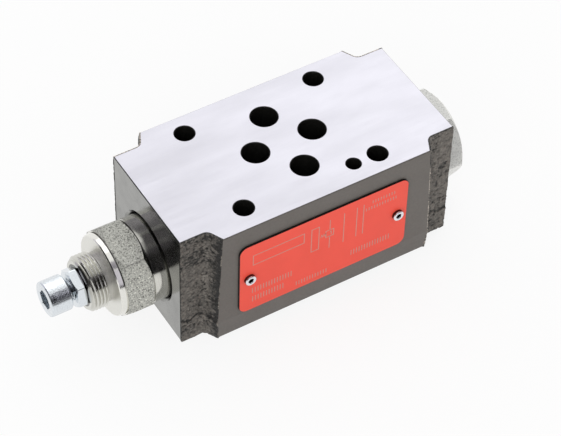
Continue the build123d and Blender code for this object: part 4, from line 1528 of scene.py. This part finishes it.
class VALVE_OT_stage(bpy.types.Operator):
    """Lay the pale floor and set up the soft studio light and the camera"""

    bl_idname = "valve.stage"
    bl_label = "Stage"

    def execute(self, context):
        scene = context.scene
        light, colours = scene.valve_light, scene.valve_colours
        scene.view_settings.view_transform = "Standard"
        self.floor(colours)
        self.flags(colours)
        self.world(scene, light.world)
        self.lamp("top_softbox", place=(0.42, 0.66, 1.15), sides=(1.6, 1.3), power=light.top)
        self.lamp("side_softbox", place=(-0.95, -0.85, 0.75), sides=(1.1, 0.9), power=light.side)
        self.camera(scene)
        return {"FINISHED"}

    def floor(self, colours):
        """Matt floor that keeps the shadow and runs out to plain white for the camera."""
        material, tree, place = start_material("pale_studio_floor")
        distance = add(tree, "ShaderNodeVectorMath", {"operation": "LENGTH"}, {0: place}).outputs["Value"]
        # The share of white, from 30 mm off the middle to 300 mm off
        inputs = {"Value": distance, "From Min": 0.03, "From Max": 0.3, "To Min": 0.85}
        far = add(tree, "ShaderNodeMapRange", None, inputs)
        inputs = {0: far, 1: seen_plainly(tree)}
        share = add(tree, "ShaderNodeMath", {"operation": "MULTIPLY"}, inputs)
        matt = add(tree, "ShaderNodeBsdfDiffuse", None, {"Color": (*colours.floor, 1)})
        white = add(tree, "ShaderNodeEmission", None, {"Color": (1, 1, 1, 1), "Strength": 1.0})
        mixed = add(tree, "ShaderNodeMixShader", None, {"Fac": share, 1: matt, 2: white})
        add(tree, "ShaderNodeOutputMaterial", None, {"Surface": mixed})
        reach = np.array([-3.0, 3.0])
        x, y = np.meshgrid(reach, reach)
        surface("studio_floor", [(np.stack((x, y, 0 * x), axis=-1), 0)], [material])

    def flags(self, colours):
        """Flags round the camera, patches of a sphere, that give the turned metal its bands.

        One is to the right and one to the left, which rises at the side, both paler towards the
        top, with a pale one between them and another at the back. Strips above and below leave
        grey lines between bright bands. Only shiny surfaces see them.
        """
        dark = plain_cloth("dark_flag_cloth", colours.dark_cloth)
        pale = plain_cloth("grey_flag_cloth", colours.grey_cloth)
        faded = faded_cloth(colours)
        reach, rise_start, rise_span = 1.3, -40, 30
        share = np.linspace(0, 1, 17)[:, None]
        # Directions from the front towards the right, then heights above the floor and the rise
        # at the side, all in degrees
        for name, material, first, last, low, high, rise in (
            ("right_flag", faded, 8, 80, 2, 58, 0),
            ("middle_flag", pale, -16, 8, 9, 52, 0),
            ("upper_strip", faded, -30, 20, 54, 74, 0),
            ("lower_strip", dark, -16, 8, 2, 9, 0),
            ("left_flag", faded, -130, -16, 2, 62, 12),
            ("back_flag", pale, -178, -130, 2, 60, 0),
            ("strip_flag", dark, 92, 122, 64, 68, 0),
        ):
            azimuth = np.radians(np.linspace(first, last, 41))[None, :]
            risen = np.clip((rise_start - np.degrees(azimuth)) / rise_span, 0, 1)
            top = np.radians(high + rise * risen)
            elevation = np.radians(low) + share * (top - np.radians(low))
            x = reach * np.cos(elevation) * np.sin(azimuth)
            y = -reach * np.cos(elevation) * np.cos(azimuth)
            z = reach * np.sin(elevation) + 0 * azimuth
            flag = surface(name, [(np.stack((x, y, z), axis=-1), 0)], [material])
            flag.visible_camera = False
            flag.visible_shadow = False
            flag.visible_diffuse = False

    def world(self, scene, strength):
        """Even white surroundings, shown at full white to camera, metal and glass."""
        world = bpy.data.worlds.new("soft_studio")
        scene.world = world
        world.use_nodes = True
        tree = world.node_tree
        tree.nodes.clear()
        inputs = {"Value": seen_plainly(tree), "To Min": strength, "To Max": 1.0}
        level = add(tree, "ShaderNodeMapRange", None, inputs)
        sky = add(tree, "ShaderNodeBackground", None, {"Color": (1, 1, 1, 1), "Strength": level})
        add(tree, "ShaderNodeOutputWorld", None, {"Surface": sky})

    def lamp(self, name, place, sides, power):
        """Rectangular softbox aimed at the middle of the valve."""
        data = bpy.data.lights.new(name, "AREA")
        data.shape = "RECTANGLE"
        data.size, data.size_y = sides
        data.energy = power
        lamp = bpy.data.objects.new(name, data)
        lamp.location = place
        middle = Vector((0, 0, 0.02))
        aim = middle - Vector(place)
        lamp.rotation_euler = aim.to_track_quat("-Z", "Y").to_euler()
        bpy.context.scene.collection.objects.link(lamp)

    def camera(self, scene):
        """Camera at the photograph's place, lens and direction."""
        image_width, focal_pixels, sensor = 561, 2316.0, 36.0
        place = Vector((-230.39, -361.96, 477.27)) * MM
        forward = Vector((0.36223, 0.56994, -0.73754))
        down = Vector((-0.3681, -0.6394, -0.6749))
        right = down.cross(forward)
        turned = Matrix((right, -down, -forward)).transposed().normalized()
        data = bpy.data.cameras.new("camera")
        data.sensor_width = sensor
        data.lens = focal_pixels / image_width * sensor
        data.clip_start, data.clip_end = 0.01, 20.0
        camera = bpy.data.objects.new("camera", data)
        camera.matrix_world = Matrix.Translation(place) @ turned.to_4x4()
        scene.collection.objects.link(camera)
        scene.camera = camera


class VALVE_PT_pieces(bpy.types.Panel):
    """Lists the pieces of the valve"""

    bl_label = "Sandwich valve"
    bl_space_type = "VIEW_3D"
    bl_region_type = "UI"
    bl_category = "Valve"

    def draw(self, context):
        for operator in OPERATORS:
            self.layout.operator(operator.bl_idname)


OPERATORS = (
    VALVE_OT_block,
    VALVE_OT_plate,
    VALVE_OT_cartridge,
    VALVE_OT_plug,
    VALVE_OT_adjuster,
    VALVE_OT_inside,
    VALVE_OT_seals,
    VALVE_OT_stage,
)
GROUPS = (
    ("valve_heads", ValveHeadSizes),
    ("valve_block", ValveBlockSizes),
    ("valve_colours", ValveColours),
    ("valve_light", ValveLight),
)


def register():
    for name, group in GROUPS:
        bpy.utils.register_class(group)
        setattr(bpy.types.Scene, name, PointerProperty(type=group))
    for operator in OPERATORS:
        bpy.utils.register_class(operator)
    bpy.utils.register_class(VALVE_PT_pieces)


def unregister():
    bpy.utils.unregister_class(VALVE_PT_pieces)
    for operator in reversed(OPERATORS):
        bpy.utils.unregister_class(operator)
    for name, group in reversed(GROUPS):
        delattr(bpy.types.Scene, name)
        bpy.utils.unregister_class(group)


def main():
    register()
    bpy.ops.valve.block()
    bpy.ops.valve.plate()
    bpy.ops.valve.cartridge()
    bpy.ops.valve.plug()
    bpy.ops.valve.adjuster()
    bpy.ops.valve.inside()
    bpy.ops.valve.seals()
    bpy.ops.valve.stage()


if __name__ == "__main__":
    main()
